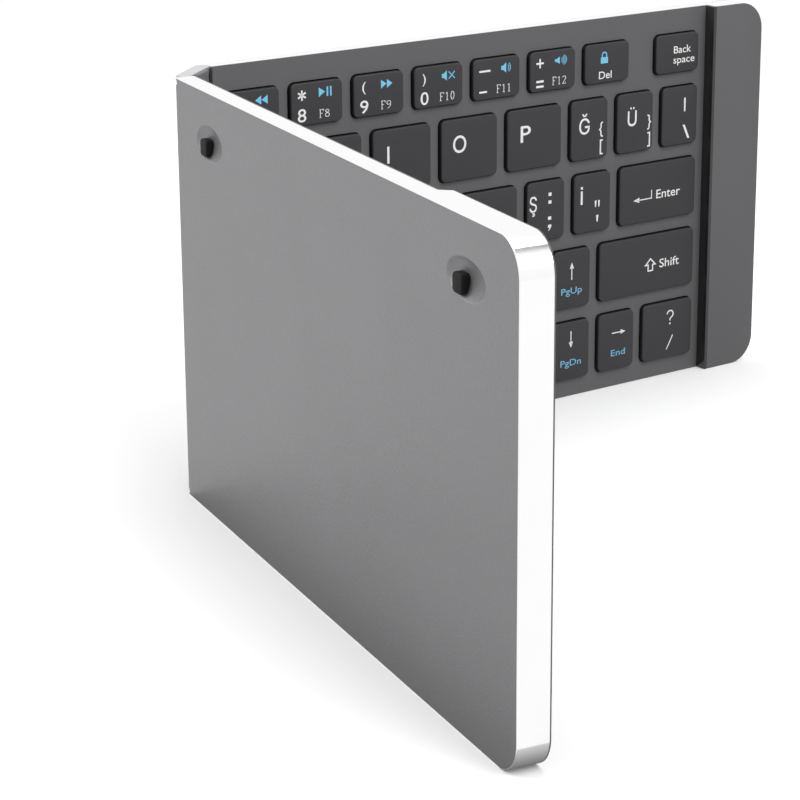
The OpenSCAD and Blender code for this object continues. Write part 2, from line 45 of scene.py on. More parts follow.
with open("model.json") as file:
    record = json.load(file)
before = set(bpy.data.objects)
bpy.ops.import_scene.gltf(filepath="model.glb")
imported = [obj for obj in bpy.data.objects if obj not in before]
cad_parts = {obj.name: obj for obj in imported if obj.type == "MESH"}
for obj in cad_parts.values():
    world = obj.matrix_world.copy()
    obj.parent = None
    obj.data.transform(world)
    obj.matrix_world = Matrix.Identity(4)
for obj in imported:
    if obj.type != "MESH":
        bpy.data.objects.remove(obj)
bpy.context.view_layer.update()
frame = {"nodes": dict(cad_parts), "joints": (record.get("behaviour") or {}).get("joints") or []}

MM = 0.001
LEFT, RIGHT = "left", "right"
FOLD_JOINT = {j["child"]: j for j in frame["joints"] if j["type"] == "hinge"}
HINGE_X, HINGE_Y = FOLD_JOINT["right_half"]["pos_m"][:2]
FOLD = -math.radians(FOLD_JOINT["right_half"]["range_deg"][0])
FILLET_STEPS, CORNER_STEPS = 4, 20
LID_ROUND, STRIP_ROUND, STRIP_CORNER, FOOT_ROUND = 0.15 * MM, 0.12 * MM, 0.13 * MM, 0.35 * MM
WELD, STEP_WIDTH = 1e-7, 2e-6
PRINT_PROUD, SOCKET_GAP, SEAM = 0.02 * MM, 0.1 * MM, 0.01 * MM


def linear(code):
    """sRGB hex to linear light: c/12.92 below 0.04045, else ((c + 0.055)/1.055)^2.4, for each channel."""
    c = np.array([int(code[i : i + 2], 16) for i in (1, 3, 5)]) / 255.0
    c = np.where(c <= 0.04045, c / 12.92, ((c + 0.055) / 1.055) ** 2.4)
    return (float(c[0]), float(c[1]), float(c[2]))


def length(name, description, mm):
    return FloatProperty(name=name, description=description, default=mm * MM, unit="LENGTH", precision=5)


def colour(name, description, code):
    return FloatVectorProperty(
        name=name, description=description, default=linear(code), size=3, subtype="COLOR", min=0, max=1
    )


class KeyboardSizes(bpy.types.PropertyGroup):
    panel_length: length("Panel length", "Length of a panel from its hinge end", 156.0)
    panel_height: length("Panel height", "Height from the front edge to the rear edge", 92.0)
    panel_thick: length("Panel thickness", "Back face to key deck", 4.3)
    corner: length("Corner radius", "Radius of the far corners", 6.8)
    wall: length("Frame wall", "Wall of the edge frame", 1.5)
    rim: length("Back rim", "Width of the frame's rim round the back plate", 0.5)
    plate: length("Back plate", "Thickness of the back plate", 0.5)
    lip: length("Deck lip", "Thickness of the deck's lip over the frame", 0.35)
    edge_break: length("Broken edge", "Radius of the frame's broken edges", 0.22)
    left_raise: length("Left raise", "Height of the left raised end above the deck", 2.2)
    right_raise: length("Right raise", "Height of the right raised end above the deck", 3.1)
    left_step: length("Left step", "Hinge end to the ramp of the left raised end", 118.0)
    left_ramp: length("Left ramp", "Length of the ramp", 1.6)
    right_step: length("Right step", "Hinge end to the trim strip", 140.1)
    trim: length("Trim strip", "Thickness of the black trim strip", 0.8)
    hinge_to_end: length("Hinge to end", "Hinge axis to the panel's end face", 1.6)
    hinge_depth: length("Hinge depth", "Hinge axis below the back face", 2.5)
    groove: length("Hinge groove", "Radius of the groove round the spine's edge", 1.85)
    dish_u: length("Dish half length", "Half length of the oval dish", 7.2)
    dish_z: length("Dish half height", "Half height of the oval dish", 3.7)
    dish_depth: length("Dish depth", "Depth of the oval dish", 1.3)
    near_dish: length("Near dish", "Hinge end to the near dish", 19.0)
    far_dish: length("Far dish", "Hinge end to the far dish", 137.0)
    dish_drop: length("Dish drop", "Rear edge down to the dishes", 10.6)
    foot: length("Foot", "Side of a rubber foot", 3.6)
    foot_proud: length("Foot height", "Height of a foot above the back face", 0.45)
    foot_inwards: length("Foot inwards", "Offset of a foot from its dish's middle towards the hinge", 2.6)
    foot_down: length("Foot down", "Offset of a foot from its dish's middle towards the front edge", 1.2)
    spine_inset: length("Spine inset", "Spine's ends inside the panels' edges", 0.2)
    barrel: length("Hinge barrel", "Radius of the hinge knuckles", 1.7)
    cover_half: length("Spine cover half width", "Half width of the spine's inner cover", 3.35)
    cover_near: length("Spine cover face", "Hinge axes to the face of the spine's cover", 2.4)
    cover_thick: length("Spine cover thickness", "Thickness of the spine's inner cover", 1.2)
    socket_low: length("Socket edge", "Front edge to the charging socket", 55.2)
    socket_wide: length("Socket width", "Width of the charging socket", 7.6)
    socket_v: length("Socket depth", "Back face to the charging socket", 2.5)
    socket_thick: length("Socket thickness", "Thickness of the charging socket", 2.5)
    key_rise: length("Key rise", "Keycap top above the deck", 1.1)
    key_skirt: length("Key skirt", "Back face to the keycap's lower edge", 3.25)
    key_corner: length("Key corner", "Radius of a keycap's corners", 1.3)
    key_edge: length("Key edge", "Radius of a keycap's top edge", 0.28)
    key_travel: length("Key travel", "Travel of a key", 1.2)
    cap_top: length("Keycap top", "Thickness of a keycap's top", 0.8)
    cap_wall: length("Keycap wall", "Wall of a keycap's skirt", 0.9)
    membrane_top: length("Membrane top", "Back face to the top of the switch membrane", 1.9)
    link_long: length("Link length", "Longest scissor link", 8.6)
    link_high: length("Link height", "Tallest scissor link", 10.2)
    link_bar: length("Link bar", "Thickness of a scissor link", 0.6)
    link_end: length("Link end", "Width of a scissor link's end bars", 0.8)
    dome_foot: length("Dome foot", "Radius of a rubber dome's foot", 2.5)


class KeyboardColours(bpy.types.PropertyGroup):
    back: colour("Back plate", "Bead-blasted anodised aluminium", "#8c8c8e")
    edge: colour("Edge frame", "Bright polished aluminium", "#fafafb")
    deck: colour("Deck", "Textured dark grey plastic", "#616163")
    key: colour("Keycap", "Spark-textured plastic", "#3b3b3d")
    # Near black: a painted shade standing for the shadow on a keycap's sides
    key_side: colour("Keycap side", "Unlit black side of a keycap", "#0e0e10")
    trim: colour("Trim strip", "Gloss black plastic", "#333335")
    rubber: colour("Foot", "Black rubber", "#101011")
    cap: colour("Spine caps", "Satin anodised aluminium", "#b0b0b2")
    spine: colour("Spine", "Bead-blasted anodised aluminium", "#8a8a8c")
    rib: colour("Spine cover", "Dark plastic", "#606062")
    white_ink: colour("White ink", "Legends", "#ffffff")
    blue_ink: colour("Blue ink", "Media icons", "#80d8ff")
    deep_ink: colour("Deep blue ink", "Second functions of the cursor keys", "#7fc6ea")
    floor: colour("Floor", "Pale studio floor", "#8c8c8c")


def sizes():
    return bpy.context.scene.keyboard_sizes


def colours():
    return bpy.context.scene.keyboard_colours


# ---------------------------------------------------------------- places and meshes


def on_panel(side, u, v, z):
    """Panel place to world place: x = u + hinge_to_end and y = hinge_depth - v are turned by the fold about
    the hinge axis, moved to the axis, and mirrored in X for the left panel."""
    k = sizes()
    u, v, z = np.broadcast_arrays(np.asarray(u, float), np.asarray(v, float), np.asarray(z, float))
    x, y = u + k.hinge_to_end, k.hinge_depth - v
    wx = x * math.cos(FOLD) + y * math.sin(FOLD) + HINGE_X
    wy = -x * math.sin(FOLD) + y * math.cos(FOLD) + HINGE_Y
    return np.stack([wx if side == RIGHT else -wx, wy, z], axis=-1)


def key_side(side):
    """Unit vector out of a panel's key face."""
    s = 1.0 if side == RIGHT else -1.0
    return np.array([-s * math.sin(FOLD), -math.cos(FOLD), 0.0])


def add_piece(name, verts, faces, materials, face_material=None, outward=None, smooth=40.0):
    """Makes a mesh object at the origin. A closed shape gets its faces turned outwards; an open sheet
    is turned so that its first face looks along outward."""
    mesh = bpy.data.meshes.new(name)
    mesh.from_pydata(np.asarray(verts, float).reshape(-1, 3).tolist(), [], [list(f) for f in faces])
    for m in materials:
        mesh.materials.append(m)
    if face_material is not None:
        mesh.polygons.foreach_set("material_index", np.asarray(face_material, np.int32))
    bm = bmesh.new()
    bm.from_mesh(mesh)
    bmesh.ops.remove_doubles(bm, verts=bm.verts, dist=WELD)
    if outward is None:
        bmesh.ops.recalc_face_normals(bm, faces=bm.faces)
    else:
        bm.normal_update()
        for f in bm.faces:
            if f.normal.dot(outward) < 0:
                f.normal_flip()
    bm.to_mesh(mesh)
    bm.free()
    mesh.polygons.foreach_set("use_smooth", np.ones(len(mesh.polygons), bool))
    mesh.set_sharp_from_angle(angle=math.radians(smooth))
    piece = bpy.data.objects.new(name, mesh)
    bpy.context.scene.collection.objects.link(piece)
    return piece


def place(piece, body, slot, *nodes):
    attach(piece, body)
    if nodes:
        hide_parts(*nodes)
    return piece


def ring_faces(rings, count, closed=True):
    """Quads between successive rings of count points, as an index array of shape (n, 4)."""
    i = np.arange(rings - 1)[:, None] * count
    j = np.arange(count if closed else count - 1)[None, :]
    k = (j + 1) % count
    return np.stack([i + j, i + k, i + count + k, i + count + j], -1).reshape(-1, 4).tolist()


def lofted(rings):
    """A closed form through rings of equal count, with its first and last rings filled: points and faces."""
    n, last = len(rings[0]), len(rings) - 1
    ends = [list(range(n)), list(range(last * n, (last + 1) * n))]
    return np.concatenate(rings), ring_faces(len(rings), n) + ends


def stack(side, outline, levels):
    """A prism with broken edges: the outline at each level (inset, v) is one ring."""
    rings = [(outline(inset), v) for inset, v in levels]
    return lofted([on_panel(side, ring[:, 0], v, ring[:, 1]) for ring, v in rings])


def joined(parts):
    """One points array and one face list from several (points, faces) pairs."""
    starts = np.cumsum([0] + [len(points) for points, _ in parts])
    faces = [[int(start) + i for i in f] for start, (_, shape) in zip(starts, parts) for f in shape]
    return np.concatenate([points for points, _ in parts]), faces


def quarter(steps):
    """The angles of a quarter turn in equal steps."""
    return np.linspace(0, math.pi / 2, steps + 1)


def fillet(top, radius):
    """Levels of a quarter round at the top edge: inset r(1 - cos a), depth top - r(1 - sin a)."""
    return [(radius * (1 - math.cos(a)), top - radius * (1 - math.sin(a))) for a in quarter(FILLET_STEPS)]


def rounded_rectangle(u, z, w, h, r, inset, steps=6):
    """Four quarter circles joined by straight sides, drawn in by inset, anticlockwise."""
    q, a = max(r - inset, 1e-5), quarter(steps)
    left, right, low, high = u + r, u + w - r, z + r, z + h - r
    corners = [(right, low, -0.5), (right, high, 0), (left, high, 0.5), (left, low, 1)]
    arcs = [[cu + q * np.cos(a + t * math.pi), cz + q * np.sin(a + t * math.pi)] for cu, cz, t in corners]
    return np.concatenate(arcs, axis=1).T


def panel_path(inset, stations):
    """Panel outline from the hinge side round the far end and back: straight edges with a point at each
    station, joined by quarter circles of the corner radius less the inset. It is left open."""
    k = sizes()
    r, cu = k.corner - inset, k.panel_length - k.corner
    a = quarter(CORNER_STEPS)
    front = [[s, inset] for s in stations]
    rear = [[s, k.panel_height - inset] for s in stations[::-1]]
    turn1 = np.stack([cu + r * np.sin(a), k.corner - r * np.cos(a)], -1)
    turn2 = np.stack([cu + r * np.cos(a), k.panel_height - k.corner + r * np.sin(a)], -1)
    return np.concatenate([front, turn1, turn2, rear])


def raised(side, u):
    """Height of the raised end above the deck at u: a straight ramp between the step's two ends."""
    k = sizes()
    if side == LEFT:
        return k.left_raise * np.clip((u - k.left_step) / k.left_ramp, 0, 1)
    return np.where(u >= k.right_step + k.trim - WELD, k.right_raise, 0.0)


def step_stations(side):
    """The two places along a panel between which its step rises."""
    k = sizes()
    if side == LEFT:
        return [k.left_step, k.left_step + k.left_ramp]
    return [k.right_step + k.trim - STEP_WIDTH, k.right_step + k.trim]


# ---------------------------------------------------------------- materials


def blank_tree(owner):
    """The node tree of a material or world, emptied."""
    owner.use_nodes = True
    owner.node_tree.nodes.clear()
    return owner.node_tree


def add(tree, kind, values=None, **settings):
    """Adds one node with its settings; values holds each input's number, colour or incoming socket."""
    n = tree.nodes.new(f"ShaderNode{kind}")
    for key, value in settings.items():
        setattr(n, key, value)
    for key, value in (values or {}).items():
        if isinstance(value, bpy.types.NodeSocket):
            tree.links.new(value, n.inputs[key])
        else:
            n.inputs[key].default_value = value
    return n


def calc(tree, operation, *values):
    """Output of one arithmetic node."""
    return add(tree, "Math", dict(enumerate(values)), operation=operation).outputs[0]


def blend(tree, share, first, second):
    """Output of a colour mix: first at share 0, second at share 1."""
    return add(tree, "Mix", {0: share, 6: first, 7: second}, data_type="RGBA").outputs[2]


def remap(tree, value, low, high, to_low=0.0, to_high=1.0, kind="LINEAR"):
    """Output of a range map: low becomes to_low and high becomes to_high."""
    values = {"Value": value, "From Min": low, "From Max": high, "To Min": to_low, "To Max": to_high}
    return add(tree, "MapRange", values, interpolation_type=kind).outputs["Result"]


def rgba(c, f=1.0):
    """A linear colour times f, kept between 0 and 1, with full alpha."""
    return (*(min(1.0, max(0.0, x * f)) for x in c), 1.0)


def surface(name, base, grain, tone, rough, bump, cloud=12.0, cloud_tone=0.03, other=None):
    """A procedural finish: fine grain of a real size in mm shifts colour and gloss and lifts the surface,
    and a slow cloud gives the faint unevenness of a real batch."""
    mat = bpy.data.materials.new(name)
    tree = blank_tree(mat)
    where = add(tree, "TexCoord").outputs["Object"]
    fine_values = {"Vector": where, "Scale": 1 / (grain * MM), "Detail": 2.0, "Roughness": 0.6}
    fine = add(tree, "TexNoise", fine_values).outputs["Fac"]
    slow = add(tree, "TexNoise", {"Vector": where, "Scale": 1 / (cloud * MM), "Detail": 3.0}).outputs["Fac"]
    speckle = blend(tree, fine, rgba(base, 1 - tone), rgba(base, 1 + tone))
    shade = remap(tree, slow, *NOISE_SPAN, 1 - cloud_tone, 1 + cloud_tone)
    tint = add(tree, "VectorMath", {0: speckle, "Scale": shade}, operation="SCALE")
    lift = add(tree, "Bump", {"Height": fine, "Strength": 1.0, "Distance": bump * MM})
    body = add(tree, "BsdfPrincipled", {
        "Base Color": tint.outputs["Vector"], "Roughness": remap(tree, fine, *NOISE_SPAN, *rough),
        "Normal": lift.outputs["Normal"], **(other or {}),
    })
    add(tree, "OutputMaterial", {"Surface": body.outputs["BSDF"]})
    mat.diffuse_color = rgba(base)
    return mat


def darken_inside(mat):
    """The spine is a bright back and bright ends on a dark inner moulding: what lies on the keys' side of the
    axes, short of the ends, takes the dark colour."""
    tree = mat.node_tree
    base = next(n for n in tree.nodes if n.type == "BSDF_PRINCIPLED").inputs["Base Color"]
    where = add(tree, "TexCoord").outputs["Object"]
    at = add(tree, "SeparateXYZ", {0: where}).outputs
    margin = 0.2 * MM
    inside = calc(tree, "LESS_THAN", at["Y"], HINGE_Y + margin)
    below = calc(tree, "LESS_THAN", at["Z"], sizes().panel_height - 2 * sizes().spine_inset)
    dark = calc(tree, "MULTIPLY", inside, below)
    tree.links.new(blend(tree, dark, base.links[0].from_socket, rgba(colours().rib)), base)


METAL, SPECULAR = "Metallic", "Specular IOR Level"
NOISE_SPAN = 0.3, 0.7  # nearly all of a noise texture's values lie between these
# Each finish: its name, its colour (a code or a KeyboardColours entry), the grain's size in mm, its share of
# tone, the roughness it swings between and its height in mm, then the cloud's size in mm and share of tone.
FINISHES = {
    # Bead-blasted and anodised aluminium: a satin grey skin with a fine sparkle. Real beads leave 0.1 mm
    # dimples; they are drawn at 0.4 mm so that they show.
    "back": ("bead_blasted_anodised_aluminium", "back", 0.42, 0.03, (0.36, 0.48), 0.07, 25, 0.02, {METAL: 0.5}),
    # Polished, clear-anodised aluminium: bright, with faint draw lines too fine to resolve.
    "edge": ("polished_aluminium", "edge", 0.6, 0.01, (0.10, 0.16), 0.0006, 18, 0.01, {METAL: 1.0}),
    # Spark-textured ABS, painted dark grey: matte with a fine even grain.
    "deck": ("textured_abs_deck", "deck", 0.22, 0.05, (0.52, 0.66), 0.012, 30, 0.02),
    # Moulded ABS keycap with a finer spark texture and a soft sheen.
    "key": ("moulded_abs_keycap", "key", 0.18, 0.05, (0.52, 0.66), 0.008, 14, 0.02, {SPECULAR: 0.3}),
    # The caps' sides carry a painted shade: near black for the shadow that falls on them. The socket's tongue wears
    # the same black.
    "key_side": ("bare_black_abs", "key_side", 0.2, 0.05, (0.5, 0.6), 0.004),
    # Gloss black acrylic strip.
    "trim": ("gloss_black_acrylic", "trim", 0.5, 0.03, (0.12, 0.2), 0.0005, 20, 0.05),
    # Moulded nitrile rubber: matte black, faint grain.
    "rubber": ("moulded_rubber", "rubber", 0.25, 0.12, (0.6, 0.75), 0.02, 3, 0.05, {SPECULAR: 0.25}),
    # The spine: bead-blasted and satin aluminium, and a dark moulding inside.
    "spine": ("bead_blasted_spine", "spine", 0.42, 0.03, (0.38, 0.5), 0.03, 15, 0.02),
    "cap": ("satin_aluminium_caps", "cap", 0.4, 0.02, (0.35, 0.45), 0.003, 15, 0.02),
    "rib": ("dark_abs_rib", "rib", 0.25, 0.05, (0.5, 0.6), 0.01),
    # Pad-printed inks: thin, opaque and matte.
    "white_ink": ("white_pad_print", "white_ink", 0.3, 0.01, (0.5, 0.6), 0.001, 5, 0.005),
    "blue_ink": ("blue_pad_print", "blue_ink", 0.3, 0.02, (0.5, 0.6), 0.001, 5, 0.01),
    "deep_ink": ("deep_blue_pad_print", "deep_ink", 0.3, 0.02, (0.5, 0.6), 0.001, 5, 0.01),
    # Pieces inside, which show only through the gaps.
    "steel": ("zinc_plated_steel", "#b4b8bb", 0.5, 0.06, (0.3, 0.42), 0.003, 9, 0.05, {METAL: 1.0}),
    "membrane": ("polyester_film", "#9fb0a6", 0.8, 0.02, (0.25, 0.35), 0.002),
    "dome": ("moulded_silicone", "#d9d3c4", 0.3, 0.03, (0.55, 0.7), 0.006),
    "link": ("moulded_nylon", "#e2e2dc", 0.3, 0.03, (0.45, 0.55), 0.005),
    "battery": ("aluminised_pouch_film", "#a9b2bd", 1.2, 0.05, (0.3, 0.45), 0.03, 8, 0.05, {METAL: 0.6}),
    "board": ("green_solder_mask", "#1d5c3d", 0.5, 0.08, (0.25, 0.35), 0.006, 6, 0.06),
    "polyimide": ("amber_polyimide_film", "#b8762a", 0.6, 0.04, (0.25, 0.35), 0.003),
}
_made = {}


def finish(key):
    """One of the keyboard's finishes, made when it is first asked for."""
    if key not in _made:
        name, base, *rest = FINISHES[key]
        _made[key] = surface(name, linear(base) if base[0] == "#" else getattr(colours(), base), *rest)
        if key == "spine":
            darken_inside(_made[key])
    return _made[key]


# ---------------------------------------------------------------- keys and legends

KEY_GAP, KEY_START, END_GAP = 3.0 * MM, 2.5 * MM, 3.0 * MM
LETTER, NARROW, EDGE_KEY, ENTER = 16.0 * MM, 11.2 * MM, 17.5 * MM, 24.2 * MM
KEY_HEIGHT, NUMBER_HEIGHT = 14.4 * MM, 9.4 * MM
ROW_PITCH, FRONT_MARGIN = 18.0 * MM, 4.7 * MM


def rows_of_widths():
    """Key widths row by row from the front, from the hinge outwards; the rest key of a row fills it up."""
    right_end = KEY_START + 5 * LETTER + 3 * NARROW + 7 * KEY_GAP
    left_end = KEY_START + 5 * LETTER + EDGE_KEY + 5 * KEY_GAP
    number = (left_end - KEY_START - 6 * KEY_GAP) / 7

    def rest(end, *others):
        return end - KEY_START - sum(others) - len(others) * KEY_GAP

    n, l = NARROW, LETTER
    middle = [l] * 5 + [EDGE_KEY]
    return {
        LEFT: [[rest(left_end, *[number] * 4)] + [number] * 4, middle, middle, middle, [number] * 7],
        RIGHT: [
            [rest(right_end, n, n, n, n, l), n, n, n, n, l],
            [n, l, l, l, l, n, rest(right_end, n, l, l, l, l, n)],
            [rest(right_end, l, l, l, n, n, ENTER), l, l, l, n, n, ENTER],
            [l] * 5 + [n] * 3,
            [number] * 7 + [number],
        ],
    }, right_end


def key_boxes():
    """Every keycap as side, row, index -> (u, z, width, height)."""
    rows, right_end = rows_of_widths()
    boxes = {}
    for side, lists in rows.items():
        for row, widths in enumerate(lists):
            u = KEY_START
            for i, w in enumerate(widths):
                if side == RIGHT and row == 4 and i == 7:
                    u = right_end - w
                h = NUMBER_HEIGHT if row == 4 else KEY_HEIGHT
                boxes[side, row, i] = (u, FRONT_MARGIN + row * ROW_PITCH, w, h)
                u += w + KEY_GAP
    return boxes


WHITE, BLUE, DEEP, THIN = "white_ink", "blue_ink", "deep_ink", "thin"
LOWER, UPPER = "right_inner_lower_keys", "right_inner_upper_keys"


def letter(text):
    """A capital at the upper left of its key; its width follows from the face."""
    return [(text, 3.4, None, 6.6, 10.5)]


def second(text, x0=7.3, x1=10.0):
    """The thin name of a key's second function, at its lower right."""
    return (text, x0, x1, 1.2, 3.15, THIN)


def figure(low, high, *more):
    """A figure with its shifted sign above it, and what stands to their right."""
    return [(low, 1.65, 3.85, 0.8, 3.75), high, *more]


# Legends by key, front row first, from the hinge outwards. A mark is its text or icon, its ink's left and
# right edge from the key's left, its lower and upper edge from the key's front edge, in mm, and its ink where
# that isn't white.
RIGHT_KEYS = [
    [
        (LOWER, []),
        (LOWER, [(",", 5.0, 5.8, 4.2, 6.0), (";", 5.0, 5.8, 8.4, 11.4)]),
        (LOWER, [("@arrow_left", 3.4, 7.7, 8.7, 9.9), ("Home", 2.0, 9.2, 3.4, 5.0, DEEP)]),
        ("key_down", [("@arrow_down", 4.85, 6.15, 7.9, 12.1), ("PgDn", 2.3, 8.7, 2.85, 5.0, DEEP)]),
        ("key_right", [("@arrow_right", 4.2, 8.5, 8.7, 9.9), ("End", 4.0, 8.5, 3.4, 5.0, DEEP)]),
        ("key_slash", [("@query", 7.7, 10.0, 8.5, 12.2), ("@slash", 7.7, 10.0, 2.0, 5.7)]),
    ],
    [
        (LOWER, [("N", 2.6, 5.8, 6.6, 10.5)]),
        (LOWER, letter("M")),
        (LOWER, [("Ö", 3.2, 6.9, 6.5, 11.2)]),
        (LOWER, [("Ç", 3.2, 6.6, 5.6, 10.6)]),
        (LOWER, [(".", 5.0, 5.8, 3.0, 3.8), (":", 5.0, 5.8, 8.4, 11.0)]),
        ("key_up", [("@arrow_up", 4.85, 6.15, 7.0, 11.3), ("PgUp", 2.3, 8.7, 2.95, 5.1, DEEP)]),
        ("key_shift", [("@shift", 14.2, 18.2, 5.2, 8.6), ("Shift", 19.1, 25.5, 5.7, 7.9)]),
    ],
    [(UPPER, letter(c)) for c in "HJKL"]
    + [
        ("key_s_cedilla", [
            ("Ş", 0.6, 2.8, 6.3, 11.2), ("@colon", 6.3, 7.2, 8.8, 11.5), ("@semicolon", 6.2, 7.2, 2.2, 5.7),
        ]),
        ("key_i_dotted", [
            ("@dotted", 1.95, 2.55, 7.1, 11.5), ("@quotes", 6.3, 7.9, 6.0, 7.6), ("@quote", 6.8, 7.5, 2.3, 4.0),
        ]),
        ("key_enter", [("@enter", 4.3, 10.2, 5.1, 7.8), ("Enter", 11.6, 19.3, 5.4, 7.6)]),
    ],
    [
        (UPPER, letter("Y")),
        (UPPER, letter("U")),
        ("key_i", [("@bar", 3.85, 4.45, 6.6, 10.5)]),
        ("key_o", [("O", 3.2, 7.0, 6.5, 10.6)]),
        ("key_p", [("P", 3.8, 6.8, 6.6, 10.5)]),
        ("key_g_breve", [("Ğ", 2.4, 5.6, 6.2, 11.2), ("{", 8.5, 9.7, 5.0, 8.7), ("[", 8.8, 9.7, 0.75, 4.4)]),
        ("key_u_umlaut", [("Ü", 3.2, 6.0, 6.4, 11.1), ("}", 9.4, 10.6, 5.0, 8.7), ("]", 9.5, 10.4, 0.75, 4.4)]),
        ("key_backslash", [("@bar", 6.9, 7.4, 8.1, 11.5), ("\\", 6.6, 8.9, 1.3, 4.8)]),
    ],
    [
        ("key_7", figure("7", ("&", 1.5, 4.1, 5.2, 7.9), ("@rewind", 7.3, 10.5, 6.0, 8.0, BLUE), second("F7"))),
        ("key_8", figure("8", ("@star", 1.7, 3.9, 5.6, 7.9), ("@play", 7.2, 10.6, 5.9, 8.05, BLUE), second("F8"))),
        ("key_9", figure("9", ("(", 2.25, 3.2, 5.1, 7.9), ("@forward", 7.3, 10.4, 5.9, 7.9, BLUE), second("F9"))),
        ("key_0", figure(
            "0", (")", 2.2, 3.1, 5.1, 7.9), ("@mute", 7.6, 11.3, 5.7, 8.1, BLUE), second("F10", 7.0, 11.1),
        )),
        ("key_minus", [
            ("@bar", 1.7, 4.9, 6.4, 6.85), ("@bar", 1.7, 3.9, 1.6, 2.05), ("@softer", 8.0, 10.8, 5.7, 8.1, BLUE),
            second("F11", 6.7, 10.6),
        ]),
        ("key_equals", [
            ("+", 1.8, 4.0, 5.6, 7.8), ("=", 1.8, 4.0, 1.0, 2.7), ("@louder", 7.3, 10.9, 5.7, 8.1, BLUE),
            second("F12", 6.6, 10.7),
        ]),
        ("key_delete", [("@lock", 4.7, 6.9, 4.7, 7.5, BLUE), ("Del", 4.2, 8.1, 1.0, 2.8)]),
        ("key_backspace", [("Back", 5.5, 11.0, 4.7, 6.5), ("space", 5.4, 12.2, 1.7, 3.45)]),
    ],
]
LEFT_KEYS = [
    ("left_bottom_keys", [
        [], [("Alt", 3.4, 8.2, 7.6, 9.6)], [], [("Fn", 3.4, 6.8, 7.6, 9.6, BLUE)], [("Ctrl", 3.4, 9.0, 7.6, 9.7)],
    ]),
    ("left_lower_keys", [*map(letter, "BVCXZ"), [("@shift", 2.6, 6.2, 5.4, 8.4), ("Shift", 7.2, 13.2, 5.7, 7.9)]]),
    ("left_home_keys", [*map(letter, "GFDSA"), [("Caps", 3.0, 10.0, 6.2, 8.9)]]),
    ("left_upper_keys", [*map(letter, "TREWQ"), [("Tab", 3.0, 8.6, 7.0, 9.2)]]),
    ("left_number_keys", [
        *[figure(c, (sign, 1.7, 4.0, 5.4, 7.9), second(f"F{c}")) for c, sign in zip("65432", "^%$#@")],
        [("@one", 2.2, 3.3, 0.8, 3.75), ("@exclaim", 2.6, 2.95, 5.4, 7.9), second("F1")],
        [("Esc", 3.2, 8.6, 3.6, 5.6)],
    ]),
]


def strip(points, width):
    """A stroke: each point moves half the width to each side along the path's normal."""
    p = np.asarray(points, float)
    t = np.gradient(p, axis=0)
    n = np.stack([-t[:, 1], t[:, 0]], -1) / np.linalg.norm(t, axis=1, keepdims=True)
    a, b = p + n * width / 2, p - n * width / 2
    m = len(p)
    return np.concatenate([a, b]), [[i, i + 1, m + i + 1, m + i] for i in range(m - 1)]


def arc(cx, cy, r, from_deg, to_deg, steps=14):
    """Points on a circle about (cx, cy): x = cx + r cos a, y = cy + r sin a."""
    a = np.radians(np.linspace(from_deg, to_deg, steps + 1))
    return np.stack([cx + r * np.cos(a), cy + r * np.sin(a)], -1)


def plate_of(*points):
    return np.array(points, float), [list(range(len(points)))]


def block(x0, y0, x1, y1):
    return plate_of((x0, y0), (x1, y0), (x1, y1), (x0, y1))


def speaker(*radii):
    """A small magnet box with a cone that opens to the right, and an arc of sound at each radius."""
    waves = [strip(arc(1.2, 1, r, -55, 55), 0.16) for r in radii]
    return [block(0, 0.62, 0.42, 1.38), plate_of((0.42, 0.62), (1.15, 0.05), (1.15, 1.95), (0.42, 1.38)), *waves]


def band(outer, inner):
    """A closed band between two outlines with the same number of points."""
    n = len(outer)
    return np.array(outer + inner, float), [[i, (i + 1) % n, n + (i + 1) % n, n + i] for i in range(n)]


